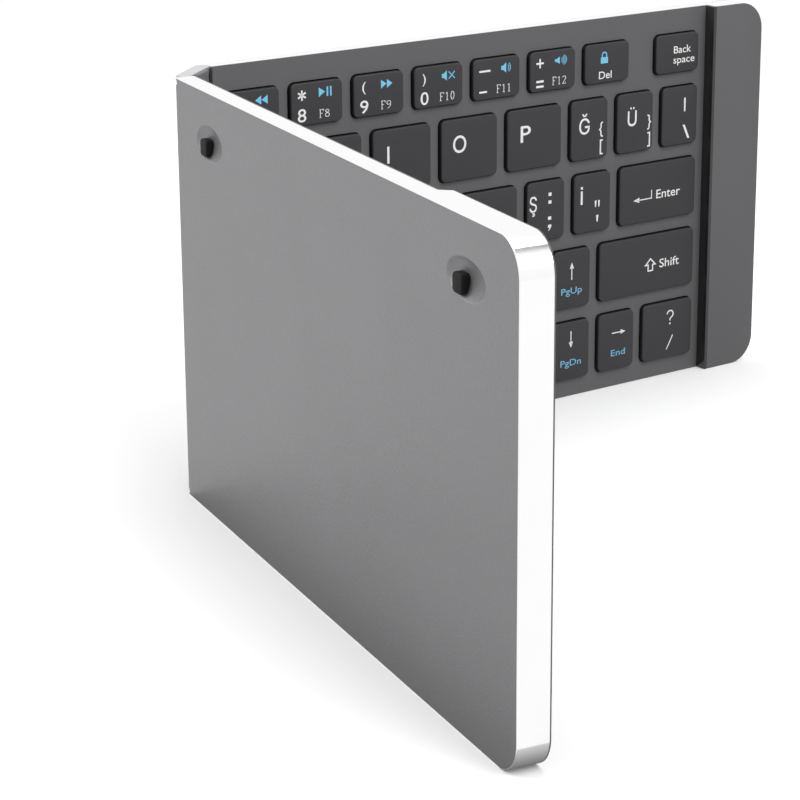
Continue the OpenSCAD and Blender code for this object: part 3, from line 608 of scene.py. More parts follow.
ICONS = {
    "bar": [block(0, 0, 1, 1)],
    "star": [strip([(-math.sin(t), -math.cos(t)), (math.sin(t), math.cos(t))], 0.36) for t in (0, 1.05, 2.1)],
    "dotted": [block(0, 0, 0.6, 3.4), block(0, 3.85, 0.6, 4.5)],
    "colon": [block(0, 0, 0.8, 0.8), block(0, 1.9, 0.8, 2.7)],
    "semicolon": [
        plate_of((0.0, 0.0), (0.35, 0.15), (0.8, 0.9), (0.8, 1.5), (0.0, 1.5), (0.0, 0.75), (0.4, 0.75)),
        block(0, 2.7, 0.8, 3.5),
    ],
    "quote": [plate_of((0.2, 0), (0.55, 0), (0.8, 1.7), (0.0, 1.7))],
    "quotes": [plate_of((x + 0.15, 0), (x + 0.45, 0), (x + 0.6, 1.7), (x, 1.7)) for x in (0.0, 1.05)],
    "rewind": [plate_of((x + 1.5, 0), (x + 1.5, 2), (x, 1)) for x in (0, 1.6)],
    "forward": [plate_of((x, 0), (x + 1.5, 1), (x, 2)) for x in (0, 1.6)],
    "play": [plate_of((0, 0), (1.55, 1), (0, 2)), block(1.95, 0, 2.35, 2), block(2.8, 0, 3.2, 2)],
    "mute": speaker() + [strip([(1.6, y), (3.0, 2 - y)], 0.2) for y in (0.35, 1.65)],
    "softer": speaker(0.55, 0.95),
    "louder": speaker(0.5, 0.85, 1.2, 1.55),
    "lock": [
        block(0, 0, 2.2, 1.5),
        strip(np.concatenate([[(0.45, 1.4)], arc(1.1, 2.05, 0.65, 180, 0), [(1.75, 1.4)]]), 0.3),
    ],
    "arrow_up": [block(0.5, 0, 0.8, 3.2), plate_of((0, 2.7), (1.3, 2.7), (0.65, 4.2))],
    "arrow_down": [block(0.5, 1.0, 0.8, 4.2), plate_of((0, 1.5), (0.65, 0), (1.3, 1.5))],
    "arrow_right": [block(0, 0.45, 3.2, 0.75), plate_of((2.8, 0), (4.3, 0.6), (2.8, 1.2))],
    "arrow_left": [block(1.1, 0.45, 4.3, 0.75), plate_of((1.5, 0), (1.5, 1.2), (0, 0.6))],
    "enter": [block(1.2, 0.52, 5.9, 0.78), block(5.64, 0.78, 5.9, 2.7), plate_of((1.9, 0), (1.9, 1.3), (0, 0.65))],
    "query": [
        strip(np.concatenate([arc(1.15, 2.6, 0.94, 175, -45), [(1.15, 1.45), (1.15, 0.95)]]), 0.34),
        block(0.95, 0.0, 1.35, 0.42),
    ],
    "slash": [strip([(0.2, 0), (1.2, 1.85), (2.2, 3.7)], 0.3)],
    "one": [strip([(0.1, 1.5), (0.4, 1.75), (0.7, 2.0)], 0.26), block(0.56, 0, 0.84, 2.0)],
    "exclaim": [block(0, 0.6, 0.3, 2.0), block(0, 0, 0.3, 0.32)],
    "shift": [band(
        [(2, 3.4), (0, 1.5), (1.1, 1.5), (1.1, 0), (2.9, 0), (2.9, 1.5), (4, 1.5)],
        [(2, 2.95), (0.85, 1.86), (1.45, 1.86), (1.45, 0.34), (2.55, 0.34), (2.55, 1.86), (3.15, 1.86)],
    )],
}

# Thin serif figures as centre lines in a cell 1 wide and 2 tall.
FIGURES = {
    "F": [
        [(0.2, 0), (0.2, 2)], [(0.0, 2), (0.95, 2)], [(0.95, 2), (0.95, 1.6)], [(0.2, 1.05), (0.7, 1.05)],
        [(0.0, 0), (0.45, 0)],
    ],
    "0": [arc(0, 0, 1, 0, 360, 28) * [0.38, 1] + [0.5, 1]],
    "1": [[(0.5, 0), (0.5, 2)], [(0.2, 1.65), (0.5, 2)], [(0.25, 0), (0.75, 0)]],
    "2": [np.concatenate([arc(0.5, 1.5, 0.45, 170, -40), [(0.1, 0)]]), [(0.1, 0), (0.9, 0)], [(0.9, 0), (0.9, 0.3)]],
    "3": [arc(0.45, 1.5, 0.42, 150, -90), arc(0.45, 0.5, 0.5, 90, -150)],
    "4": [[(0.7, 0), (0.7, 2)], [(0.7, 2), (0.05, 0.6)], [(0.05, 0.6), (0.95, 0.6)]],
    "5": [[(0.85, 2), (0.25, 2)], [(0.25, 2), (0.2, 1.15)], arc(0.45, 0.6, 0.52, 120, -150)],
    "6": [arc(0.5, 0.58, 0.45, 0, 360, 24), arc(1.2, 0.9, 1.15, 112, 175)],
    "7": [[(0.1, 1.6), (0.1, 2)], [(0.1, 2), (0.9, 2)], [(0.9, 2), (0.4, 0)]],
    "8": [arc(0.5, 1.52, 0.36, 0, 360, 24), arc(0.5, 0.55, 0.46, 0, 360, 24)],
    "9": [arc(0.5, 1.42, 0.45, 0, 360, 24), arc(-0.2, 1.1, 1.15, -68, -5)],
}
THIN_STROKE, THIN_PITCH = 0.15, 1.3


def thin_figures(text):
    """The figures side by side, each stroke a strip of constant width."""
    return [
        (points + [THIN_PITCH * i, 0], faces)
        for i, char in enumerate(text)
        for points, faces in (strip(line, THIN_STROKE) for line in FIGURES[char])
    ]


_glyphs = {}


def glyphs(text):
    """The text in Blender's own typeface as a flat mesh: points (n, 2) and faces."""
    if text not in _glyphs:
        curve = bpy.data.curves.new("legend_text", "FONT")
        curve.body = text
        curve.resolution_u = 5
        # All but the M, whose notch would close, are thickened a little
        curve.offset = 0.0 if text == "M" else 0.006
        holder = bpy.data.objects.new("legend_text", curve)
        bpy.context.scene.collection.objects.link(holder)
        bpy.context.view_layer.update()
        mesh = bpy.data.meshes.new_from_object(holder.evaluated_get(bpy.context.evaluated_depsgraph_get()))
        co = np.zeros(len(mesh.vertices) * 3)
        mesh.vertices.foreach_get("co", co)
        _glyphs[text] = (co.reshape(-1, 3)[:, :2], [list(p.vertices) for p in mesh.polygons])
        bpy.data.meshes.remove(mesh)
        bpy.data.objects.remove(holder)
        bpy.data.curves.remove(curve)
    return _glyphs[text]


def mark_shape(text, ink):
    """An icon where the text is @ and its name, else thin figures or the text's own shape."""
    if text[1:] in ICONS:
        return ICONS[text[1:]]
    return thin_figures(text) if ink == THIN else [glyphs(text)]


def draw_marks(side, box, marks):
    """Fits each mark's ink box to its place on the key. Returns parts as (points, faces, ink)."""
    k = sizes()
    v = k.panel_thick + k.key_rise + PRINT_PROUD
    u0, z0, width, _ = box
    parts = []
    for text, x0, x1, y0, y1, *other in marks:
        ink = other[0] if other else WHITE
        shapes = mark_shape(text, ink)
        every = np.concatenate([p for p, _ in shapes])
        lo, span = every.min(0), np.ptp(every, axis=0)
        sy = (y1 - y0) / max(span[1], 1e-6)
        sx = sy if x1 is None else (x1 - x0) / max(span[0], 1e-6)
        for points, faces in shapes:
            p = (points - lo) * [sx, sy] * MM + np.array([x0, y0]) * MM
            u = u0 + p[:, 0] if side == RIGHT else u0 + width - p[:, 0]
            parts.append((on_panel(side, u, v, z0 + p[:, 1]), faces, WHITE if ink == THIN else ink))
    return parts


# ---------------------------------------------------------------- operators


class KEYBOARD_OT_back_plates(bpy.types.Operator):
    """Back plates of both panels with their oval dishes"""

    bl_idname = "keyboard.back_plates"
    bl_label = "Back Plates"

    def dish(self, u, z):
        """Depth of the back face. Each dish is an ellipsoid cap: with q2 the squared distance in half axes,
        the depth is share * (sqrt(1 + lift^2 - q2) - lift), and (d + sqrt(d^2 + s^2)) / 2 softens its rim."""
        k = sizes()
        lift, soft, reach = 0.6, 0.02 * MM, 1.3
        share = k.dish_depth / (math.sqrt(1 + lift**2) - lift)
        depth = np.zeros_like(u)
        for centre in (k.near_dish, k.far_dish):
            q2 = ((u - centre) / k.dish_u) ** 2 + ((z - k.panel_height + k.dish_drop) / k.dish_z) ** 2
            cap = share * (np.sqrt(np.clip(1 + lift**2 - q2, 0.01, None)) - lift)
            depth += np.where(q2 < reach, (cap + np.sqrt(cap**2 + soft**2)) / 2, 0.0)
        return depth

    def sheet(self, inset):
        """A grid of places (u, z), close together across the dishes. At the far corners the sheet's ends
        follow the quarter circle, and the lines near them are squeezed towards the middle."""
        k = sizes()
        near, far = k.near_dish, k.far_dish
        fine, start, r = 1.25 * k.dish_u, k.panel_length - k.corner, k.corner - inset
        across, up = 97, 67  # grid lines over a dish
        us = np.concatenate([
            np.linspace(inset, near - fine, 5)[:-1], np.linspace(near - fine, near + fine, across),
            np.linspace(near + fine, far - fine, 10)[1:-1], np.linspace(far - fine, far + fine, across),
            start + r * np.sin(np.linspace(0, math.pi / 2 - 1e-3, 24)),
        ])
        low = k.panel_height - k.dish_drop - 1.45 * k.dish_z
        high = low + 2.9 * k.dish_z
        ts = np.concatenate([
            np.linspace(inset, low, 8)[:-1], np.linspace(low, high, up),
            np.linspace(high, k.panel_height - inset, 4)[1:],
        ])
        uu, tt = np.meshgrid(us, ts, indexing="ij")
        along = np.clip(uu - start, 0, None)
        lost = r - np.sqrt(np.clip(r**2 - along**2, 0, None))
        mid = k.panel_height / 2
        return uu, mid + (tt - mid) * (mid - inset - lost) / (mid - inset)

    def execute(self, context):
        k = sizes()
        uu, zz = self.sheet(k.rim + SEAM)
        n, m = uu.shape
        faces = ring_faces(n, m, closed=False)
        faces += [[n * m + i for i in f] for f in faces]
        border = np.concatenate([
            np.arange(m), np.arange(1, n) * m + m - 1,
            (n - 1) * m + np.arange(m - 2, -1, -1), np.arange(n - 2, 0, -1) * m,
        ])
        onward = np.roll(border, -1)
        faces += np.stack([border, onward, onward + n * m, border + n * m], -1).tolist()
        dip = self.dish(uu, zz)
        for side in (LEFT, RIGHT):
            skins = [on_panel(side, uu, depth, zz).reshape(-1, 3) for depth in (dip, dip + k.plate * 0.98)]
            piece = add_piece(f"{side}_back_skin", np.concatenate(skins), faces, [finish("back")], smooth=30)
            place(piece, f"{side}_half", "back_plate", f"{side}_back_plate")
        return {"FINISHED"}


class KEYBOARD_OT_edge_frames(bpy.types.Operator):
    """Polished edge frames: a channel section carried round three sides, and the wall at the hinge end"""

    bl_idname = "keyboard.edge_frames"
    bl_label = "Edge Frames"

    def section(self):
        """(inset, depth, share of the raise): round the back rim, up the outside, over the top and down."""
        k = sizes()
        r, top = k.edge_break, k.panel_thick - k.lip
        outer = [(r - r * math.sin(a), r - r * math.cos(a), 0.0) for a in quarter(5)]
        inner = [(0.0, top, 1.0), (k.wall, top, 1.0), (k.wall, k.plate, 0.0)]
        return [(k.rim, k.plate, 0.0), (k.rim, 0.0, 0.0), *outer, *inner]

    def channel(self, side):
        """The section carried along the panel's outline, and which of its faces are blasted: those of the
        rim round the back plate."""
        rings = []
        for inset, v, share in self.section():
            path = panel_path(inset, [0.0, *step_stations(side)])
            rings.append(on_panel(side, path[:, 0], v + share * raised(side, path[:, 0]), path[:, 1]))
        n, m = len(rings), len(rings[0])
        faces = ring_faces(n, m, closed=False)
        faces += [[(n - 1) * m + j, (n - 1) * m + j + 1, j + 1, j] for j in range(m - 1)]
        faces += [[i * m for i in range(n)], [i * m + m - 1 for i in range(n)]]
        return (np.concatenate(rings), faces), [m - 1 <= i < 2 * (m - 1) for i in range(len(faces))]

    def hinge_wall(self, side):
        """The wall at the hinge end: a bar with a groove, an arc of radius groove about the hinge axis."""
        k = sizes()
        reach = math.asin(math.sqrt(k.groove**2 - k.hinge_to_end**2) / k.groove)
        a = np.linspace(reach, -reach, 13)
        groove = np.stack([k.groove * np.cos(a) - k.hinge_to_end, k.hinge_depth + k.groove * np.sin(a)], -1)
        top = k.panel_thick - k.lip
        body = [(0, 0), (k.rim, 0), (k.rim, k.plate), (k.wall, k.plate), (k.wall, top), (0, top)]
        bar = np.concatenate([body, groove])
        return lofted([on_panel(side, bar[:, 0], bar[:, 1], z) for z in (k.wall, k.panel_height - k.wall)])

    def execute(self, context):
        for side in (LEFT, RIGHT):
            channel, blasted = self.channel(side)
            bar = self.hinge_wall(side)
            blasted += [i < len(bar[0]) // 2 for i in range(len(bar[1]))]
            skins = [finish("edge"), finish("back")]
            piece = add_piece(f"{side}_edge_band", *joined([channel, bar]), skins, blasted, smooth=35)
            if side == RIGHT:
                self.cut_socket(piece)
            place(piece, f"{side}_half", "edge_frame", f"{side}_edge_frame")
        return {"FINISHED"}

    def cut_socket(self, piece):
        """Takes the charging socket's rounded opening out of the wall at the right panel's far end."""
        k = sizes()
        gap, radius = SOCKET_GAP, 0.9 * MM
        w, h = k.socket_thick + 2 * gap, k.socket_wide + 2 * gap
        slot = rounded_rectangle(k.socket_v - gap, k.socket_low - gap, w, h, radius, 0.0)
        reach = (k.panel_length - 1.2 * k.wall, k.panel_length + k.wall)
        rings = [on_panel(RIGHT, u, slot[:, 0], slot[:, 1]) for u in reach]
        cutter = add_piece("socket_cutter", *lofted(rings), [finish("edge")])
        cut = piece.modifiers.new("socket", "BOOLEAN")
        cut.object, cut.operation, cut.solver = cutter, "DIFFERENCE", "EXACT"
        whole, tool = piece.data, cutter.data
        piece_now = piece.evaluated_get(bpy.context.evaluated_depsgraph_get())
        piece.data = bpy.data.meshes.new_from_object(piece_now)
        piece.modifiers.clear()
        piece.data.set_sharp_from_angle(angle=math.radians(35))
        piece.data.name = whole.name
        bpy.data.objects.remove(cutter)
        for mesh in (whole, tool):
            bpy.data.meshes.remove(mesh)


class KEYBOARD_OT_raised_ends(bpy.types.Operator):
    """Lids of the raised ends, and the gloss strip beside the right one"""

    bl_idname = "keyboard.raised_ends"
    bl_label = "Raised Ends"

    def lid(self, side):
        """The panel outline from the step on, as rings at the lip's foot, up its side and round its top
        edge; the ramp and the flat top are filled between the two halves of the last ring."""
        k = sizes()
        levels = [(0.0, k.panel_thick - k.lip)] + fillet(k.panel_thick, LID_ROUND)
        rings = []
        for inset, v in levels:
            path = panel_path(inset, step_stations(side))
            rings.append(on_panel(side, path[:, 0], v + raised(side, path[:, 0]), path[:, 1]))
        n, m = len(levels), len(rings[0])
        faces = ring_faces(n, m, closed=False)
        for base in (0, (n - 1) * m):
            faces.append([base + 1 + i for i in range(m - 2)])
            faces.append([base, base + 1, base + m - 2, base + m - 1])
        faces.append([i * m for i in range(n)] + [i * m + m - 1 for i in reversed(range(n))])
        return np.concatenate(rings), faces

    def gloss_strip(self):
        """A narrow rectangle with rounded corners and a rounded top edge."""
        k = sizes()
        levels = [(0.0, k.panel_thick)] + fillet(k.panel_thick + k.right_raise, STRIP_ROUND)

        def outline(inset):
            return rounded_rectangle(k.right_step, 0, k.trim, k.panel_height, STRIP_CORNER, inset, 3)

        return stack(RIGHT, outline, levels)

    def execute(self, context):
        for side in (LEFT, RIGHT):
            piece = add_piece(f"{side}_end_lid", *self.lid(side), [finish("deck")], smooth=30)
            place(piece, f"{side}_half", "deck", f"{side}_end_cover")
        piece = add_piece("right_gloss_strip", *self.gloss_strip(), [finish("trim")], smooth=50)
        place(piece, "right_half", "trim", "right_trim_strip")
        return {"FINISHED"}


class KEYBOARD_OT_feet(bpy.types.Operator):
    """Rubber feet in the dishes"""

    bl_idname = "keyboard.feet"
    bl_label = "Rubber Feet"

    def foot(self, side, u):
        """A rounded square from the dish's floor outwards, with a rounded outer edge."""
        k = sizes()
        left = u - k.foot_inwards - k.foot / 2
        low = k.panel_height - k.dish_drop - k.foot_down - k.foot / 2

        def outline(inset):
            return rounded_rectangle(left, low, k.foot, k.foot, k.foot / 4, inset)

        outside = [(inset, -v) for inset, v in fillet(k.foot_proud, FOOT_ROUND)]
        return stack(side, outline, [(0.0, k.dish_depth * 0.9)] + outside)

    def execute(self, context):
        k = sizes()
        for side in (LEFT, RIGHT):
            feet = joined([self.foot(side, u) for u in (k.near_dish, k.far_dish)])
            piece = add_piece(f"{side}_foot_pads", *feet, [finish("rubber")], smooth=50)
            place(piece, f"{side}_half", "feet", f"{side}_rubber_feet")
        return {"FINISHED"}


class KEYBOARD_OT_keycaps(bpy.types.Operator):
    """Keycaps with rounded edges, and the legends printed on them"""

    bl_idname = "keyboard.keycaps"
    bl_label = "Keycaps and Legends"

    def cap(self, side, box):
        """A hollow rounded rectangle: under the top, down the inside of the skirt, up its outside and round
        the top's quarter-round edge. The first faces are the skirt, the rest the edge and the top."""
        k = sizes()
        top = k.panel_thick + k.key_rise

        def outline(inset):
            return rounded_rectangle(*box, k.key_corner, inset)

        hollow = [(k.cap_wall, top - k.cap_top), (k.cap_wall, k.key_skirt), (0.0, k.key_skirt)]
        return stack(side, outline, hollow + fillet(top, k.key_edge)), 3 * len(outline(0.0))

    def execute(self, context):
        boxes = key_boxes()
        groups = {}
        left = [[(node, marks) for marks in keys] for node, keys in LEFT_KEYS]
        for side, rows in ((RIGHT, RIGHT_KEYS), (LEFT, left)):
            for row, keys in enumerate(rows):
                for i, (node, marks) in enumerate(keys):
                    groups.setdefault((node, side), []).append((boxes[side, row, i], marks))
        for (node, side), keys in groups.items():
            caps, which = [], []
            for box, _ in keys:
                cap, around = self.cap(side, box)
                caps.append(cap)
                # The skirts take the keycap side colour, a painted shade; the edge and the top take the key colour
                which += [1] * around + [0] * (len(cap[1]) - around)
            name = node.replace("key_", "cap_") if node.startswith("key_") else node.replace("_keys", "_caps")
            piece = add_piece(name, *joined(caps), [finish("key"), finish("key_side")], which, smooth=60)
            place(piece, node, "keycap", node)
            self.print_legends(node, name, side, keys)
        return {"FINISHED"}

    def print_legends(self, node, name, side, keys):
        """Prints a node's marks as one flat piece just above its caps."""
        drawn = [part for box, marks in keys for part in draw_marks(side, box, marks)]
        if not drawn:
            return
        used = [ink for ink in (WHITE, BLUE, DEEP) if any(part[2] == ink for part in drawn)]
        which = [used.index(ink) for _, faces, ink in drawn for _ in faces]
        shape = joined([(points, faces) for points, faces, _ in drawn])
        piece = add_piece(f"{name}_print", *shape, [finish(i) for i in used], which, outward=key_side(side))
        place(piece, node, "keycap")


class KEYBOARD_OT_switches(bpy.types.Operator):
    """Rubber domes and crossed scissor links under the keys, as low as a pressed key leaves them"""

    bl_idname = "keyboard.switches"
    bl_label = "Domes and Links"

    def link(self, side, middle, long, high, tilt):
        """A flat frame round a rectangular hole, as four rectangular rings: the outside at both faces, then
        the hole at both faces. It is turned by tilt t: u = a cos t - b sin t, v = a sin t + b cos t."""
        k = sizes()
        hole = (long - 2 * k.link_end, high - 2 * k.link_bar)
        rings = []
        for (wide, tall), face in (((long, high), -1), ((long, high), 1), (hole, 1), (hole, -1)):
            a, c = np.array([-1, 1, 1, -1]) * wide / 2, np.array([-1, -1, 1, 1]) * tall / 2
            rings.append(np.stack([a, np.full(4, face * k.link_bar / 2), c], -1))
        a, b, c = np.concatenate(rings).T
        u = a * math.cos(tilt) - b * math.sin(tilt)
        v = a * math.sin(tilt) + b * math.cos(tilt)
        faces = ring_faces(4, 4) + [[12 + i, 12 + (i + 1) % 4, (i + 1) % 4, i] for i in range(4)]
        return on_panel(side, middle[0] + u, middle[1] + v, middle[2] + c), faces

    def dome(self, side, middle, foot, low, high):
        """A cone of half the foot's radius at its top."""
        a = np.linspace(0, 2 * math.pi, 24, endpoint=False)

        def circle(inset):
            r = foot - inset
            return np.stack([middle[0] + r * np.cos(a), middle[2] + r * np.sin(a)], -1)

        return stack(side, circle, [(0.0, low), (foot / 2, high)])

    def execute(self, context):
        k = sizes()
        slip, clear = 0.2 * MM, 0.1 * MM
        low = k.membrane_top
        rise = k.panel_thick + k.key_rise - k.cap_top - k.key_travel - low - clear
        for side in (LEFT, RIGHT):
            domes, links = [], []
            for u, z, w, h in [box for key, box in key_boxes().items() if key[0] == side]:
                middle = (u + w / 2, low + rise / 2, z + h / 2)
                long = min(k.link_long, w - 2 * (k.cap_wall + slip))
                high = min(k.link_high, h - 2 * (k.cap_wall + slip))
                tilt = 0.9 * math.asin((rise - k.link_bar) / long)
                links.append(self.link(side, middle, long, high, tilt))
                links.append(self.link(side, middle, long - 2 * slip, high - 2 * (k.link_bar + slip), -tilt))
                room = min(long / 2 - k.link_end, high / 2 - 2 * k.link_bar) - slip - clear
                domes.append(self.dome(side, middle, min(k.dome_foot, room), low, low + rise))
            domes = add_piece(f"{side}_domes", *joined(domes), [finish("dome")])
            place(domes, f"{side}_half", "domes", f"{side}_rubber_domes")
            links = add_piece(f"{side}_links", *joined(links), [finish("link")])
            place(links, f"{side}_half", "linkage", f"{side}_scissors")
        return {"FINISHED"}


class KEYBOARD_OT_spine_cover(bpy.types.Operator):
    """Rounded inner cover of the spine, and the tongue inside the charging socket"""

    bl_idname = "keyboard.spine_cover"
    bl_label = "Spine Cover and Socket Tongue"

    def cover(self):
        """A long rounded bar between the axes, its ends rounded by r: inset r(1 - sin a) at r(1 - cos a)."""
        k = sizes()
        low, high, r, corner = k.spine_inset, k.panel_height - k.spine_inset, 0.3 * MM, 0.45 * MM
        ends = [(r * (1 - math.sin(a)), low + r * (1 - math.cos(a))) for a in quarter(4)]
        box = (-k.cover_half, HINGE_Y - k.cover_near, 2 * k.cover_half, k.cover_thick)
        rings = []
        for inset, z in ends + [(inset, low + high - z) for inset, z in reversed(ends)]:
            ring = rounded_rectangle(*box, corner, inset)
            rings.append(np.column_stack([ring, np.full(len(ring), z)]))
        return lofted(rings)

    def end_cap(self, foot, out):
        """A cap over the knuckles: a stadium about both axes, rounded on its outer edge. Its key side is cut
        back so that the shut decks clear it."""
        k = sizes()
        near, r = k.hinge_to_end - 0.1 * MM, 0.08 * MM
        a = np.linspace(-math.pi / 2, math.pi / 2, 25)
        rings = []
        for inset, drop in ((0.0, None), (0.0, r), (0.3 * r, 0.3 * r), (r, 0.0)):
            share = 0.0 if drop is None else 1 - drop / k.spine_inset
            x = HINGE_X + (k.barrel - inset) * np.cos(a)
            y = HINGE_Y + np.maximum((k.barrel - inset) * np.sin(a), inset - near)
            ring = np.concatenate([np.stack([x, y], -1), np.stack([-x, y], -1)[::-1]])
            rings.append(np.column_stack([ring, np.full(len(ring), foot + share * out)]))
        return lofted(rings)

    def tongue(self):
        """Carries the contacts: a thin block in the middle of the socket, its open end chamfered."""
        k = sizes()
        wide, thick, corner = 0.62 * k.socket_wide, 0.24 * k.socket_thick, 0.16 * MM
        low_v, low_z = k.socket_v + (k.socket_thick - thick) / 2, k.socket_low + (k.socket_wide - wide) / 2
        rings = []
        for inset, back in ((0.0, 4.6 * MM), (0.0, 0.9 * MM), (0.15 * MM, 0.6 * MM)):
            ring = rounded_rectangle(low_v, low_z, thick, wide, corner, inset, 3)
            rings.append(on_panel(RIGHT, k.panel_length - back, ring[:, 0], ring[:, 1]))
        return lofted(rings)

    def execute(self, context):
        k = sizes()
        piece = add_piece("spine_rib", *self.cover(), [finish("rib")], smooth=50)
        place(piece, "spine", "spine_cover", "spine_inner_cover")
        low = k.spine_inset
        both = joined([self.end_cap(k.panel_height - low, low), self.end_cap(low, -low)])
        caps = add_piece("spine_end_caps", *both, [finish("cap")], smooth=50)
        place(caps, "spine", "spine_cover")
        tongue = add_piece("socket_tongue", *self.tongue(), [finish("key_side")], smooth=50)
        place(tongue, "right_half", "trim")
        return {"FINISHED"}


class KEYBOARD_OT_carried_nodes(bpy.types.Operator):
    """Finishes for the decks, the spine and the pieces inside, whose shapes stay as they are"""

    bl_idname = "keyboard.carried_nodes"
    bl_label = "Decks, Spine and Inside"

    def execute(self, context):
        wear = {
            "deck": ["left_deck", "right_deck"],
            "spine": ["hinge_spine"],
            "steel": ["usb_socket"],
            "membrane": ["left_membrane", "right_membrane"],
            "battery": ["battery"],
            "board": ["main_board"],
            "polyimide": ["flex_cable"],
        }
        for side in (LEFT, RIGHT):
            for what in ("base_plate", "magnets", "hinge_leaves", "hinge_pins"):
                wear["steel"].append(f"{side}_{what}")
        for key, nodes in wear.items():
            for node in nodes:
                mesh = frame["nodes"][node].data
                mesh.materials.clear()
                mesh.materials.append(finish(key))
        return {"FINISHED"}


# Strengths count white as 1; spans are metres from the middle
AMBIENT, SEEN_GLOW, MIRRORED_GLOW = 0.42, 0.03, 0.65
FLOOR_SPAN, FADE_SPAN = (0.05, 4.0), (0.2, 0.9)
# Each lamp: its place, what it looks at, its width and its power in watts
LAMPS = {
    "top_light": ((0.05, 0.0, 1.5), (0, 0, 0), 1.4, 10),
    "back_light": ((-0.25, 1.15, 1.0), (0, 0, 0.04), 0.9, 9),
    "front_light": ((-0.55, -0.95, 1.15), (0, 0, 0.04), 1.1, 15),
}


class KEYBOARD_OT_stage(bpy.types.Operator):
    """Pale floor, soft light and the camera"""

    bl_idname = "keyboard.stage"
    bl_label = "Stage"

    def floor(self):
        """A round floor sheet: rings of growing radius about the keyboard. Away from the keyboard it runs out
        into the lit backdrop."""
        rings, sides = 12, 64
        a = np.linspace(0, 2 * math.pi, sides, endpoint=False)
        points = [np.stack([r * np.cos(a), r * np.sin(a), 0 * a], -1) for r in np.geomspace(*FLOOR_SPAN, rings)]
        faces = ring_faces(rings, sides) + [list(range(sides))]
        mat = bpy.data.materials.new("studio_floor")
        tree = blank_tree(mat)
        ray = add(tree, "LightPath").outputs
        seen, mirrored = ray["Is Camera Ray"], ray["Is Glossy Ray"]
        glow = calc(tree, "MULTIPLY_ADD", mirrored, MIRRORED_GLOW, calc(tree, "MULTIPLY", seen, SEEN_GLOW))
        paper = blend(tree, seen, rgba(colours().floor), rgba(linear("#fafafa")))
        near = add(tree, "AddShader", {
            0: add(tree, "Emission", {"Strength": glow}).outputs[0],
            1: add(tree, "BsdfDiffuse", {"Color": paper}).outputs[0],
        })
        where = add(tree, "TexCoord").outputs["Object"]
        away = add(tree, "VectorMath", {0: where}, operation="LENGTH").outputs["Value"]
        far = remap(tree, away, *FADE_SPAN, kind="SMOOTHSTEP")
        fade = calc(tree, "MULTIPLY", far, calc(tree, "MAXIMUM", seen, mirrored))
        backdrop = add(tree, "Emission", {"Strength": 1.0})
        both = add(tree, "MixShader", {0: fade, 1: near.outputs[0], 2: backdrop.outputs[0]})
        add(tree, "OutputMaterial", {"Surface": both.outputs[0]})
        piece = add_piece("floor", np.concatenate(points), faces, [mat], outward=np.array([0, 0, 1.0]))

    def world(self):
        """White to the camera and in mirrors and glass, dimmer as a light."""
        world = bpy.data.worlds.new("studio")
        bpy.context.scene.world = world
        tree = blank_tree(world)
        ray = add(tree, "LightPath").outputs
        plain = calc(tree, "MAXIMUM", ray["Is Camera Ray"], ray["Is Glossy Ray"])
        white = calc(tree, "MAXIMUM", plain, ray["Is Transmission Ray"])
        level = remap(tree, white, 0.0, 1.0, AMBIENT, 1.0)
        sky = add(tree, "Background", {"Color": (1, 1, 1, 1), "Strength": level})
        add(tree, "OutputWorld", {"Surface": sky.outputs[0]})

    def lamp(self, name, place_at, target, size, power):
        """A round lamp turned to look at its target."""
        light = bpy.data.lights.new(name, "AREA")
        light.shape, light.size, light.energy = "DISK", size, power
        lamp = bpy.data.objects.new(name, light)
        bpy.context.scene.collection.objects.link(lamp)
        x, y, z = np.array(target) - np.array(place_at)
        lamp.location = place_at
        lamp.rotation_euler = Euler((math.atan2(math.hypot(x, y), -z), 0, math.atan2(y, x) - math.pi / 2))

    def card(self, name, corners, tone, out=None, reach=0.0, far=0.95):
        """A card only mirrors see. With a direction out, its strength runs from tone at its first corner to
        far at that reach."""
        mat = bpy.data.materials.new(f"studio_{name}")
        tree = blank_tree(mat)
        if out is not None:
            where = add(tree, "TexCoord").outputs["Object"]
            along = add(tree, "VectorMath", {0: where, 1: (*out, 0)}, operation="DOT_PRODUCT").outputs["Value"]
            start = float(np.dot(out, corners[0][:2]))
            tone = remap(tree, along, start, start + reach, tone, far, "SMOOTHSTEP")
        glow = add(tree, "Emission", {"Strength": tone})
        add(tree, "OutputMaterial", {"Surface": glow.outputs[0]})
        card = add_piece(name, np.array(corners), [[0, 1, 2, 3]], [mat])
        card.visible_camera = card.visible_diffuse = card.visible_shadow = card.visible_transmission = False

    def flag(self):
        """An overhead strip that draws the soft band on the polished corner."""
        top, along, across = np.array([[0.06, -0.46, 1.11], [0.45, -0.2, 0.0], [-0.15, -0.36, -0.2]])
        corners = [top - along, top + along, top + along + across, top - along + across]
        self.card("flag", corners, tone=0.3, out=across[:2] / np.hypot(*across[:2]), reach=0.39)

    def felt(self):
        """A strip on the floor behind the left panel that only mirrors see: a painted shadow, dark at its foot and
        paler outwards, that darkens the panel's reflections near the floor."""
        near, far = on_panel(LEFT, [0.0, sizes().panel_length], 0.0, 0.05 * MM)
        away, reach = np.array([-math.sin(FOLD), math.cos(FOLD), 0.0]), 1.2
        corners = [near, far, far + reach * away, near + reach * away]
        self.card("felt", corners, tone=0.3, out=away[:2], reach=0.035, far=0.85)

    def bounce(self):
        """A bright card behind, low over the table, that the dishes and the polished top look into."""
        low, high, rise = np.array([[1.15, 0.15, 0.12], [0.45, 1.05, 0.12], [0.0, 0.0, 0.62]])
        self.card("bounce", [low, high, high + rise, low + rise], tone=1.0)

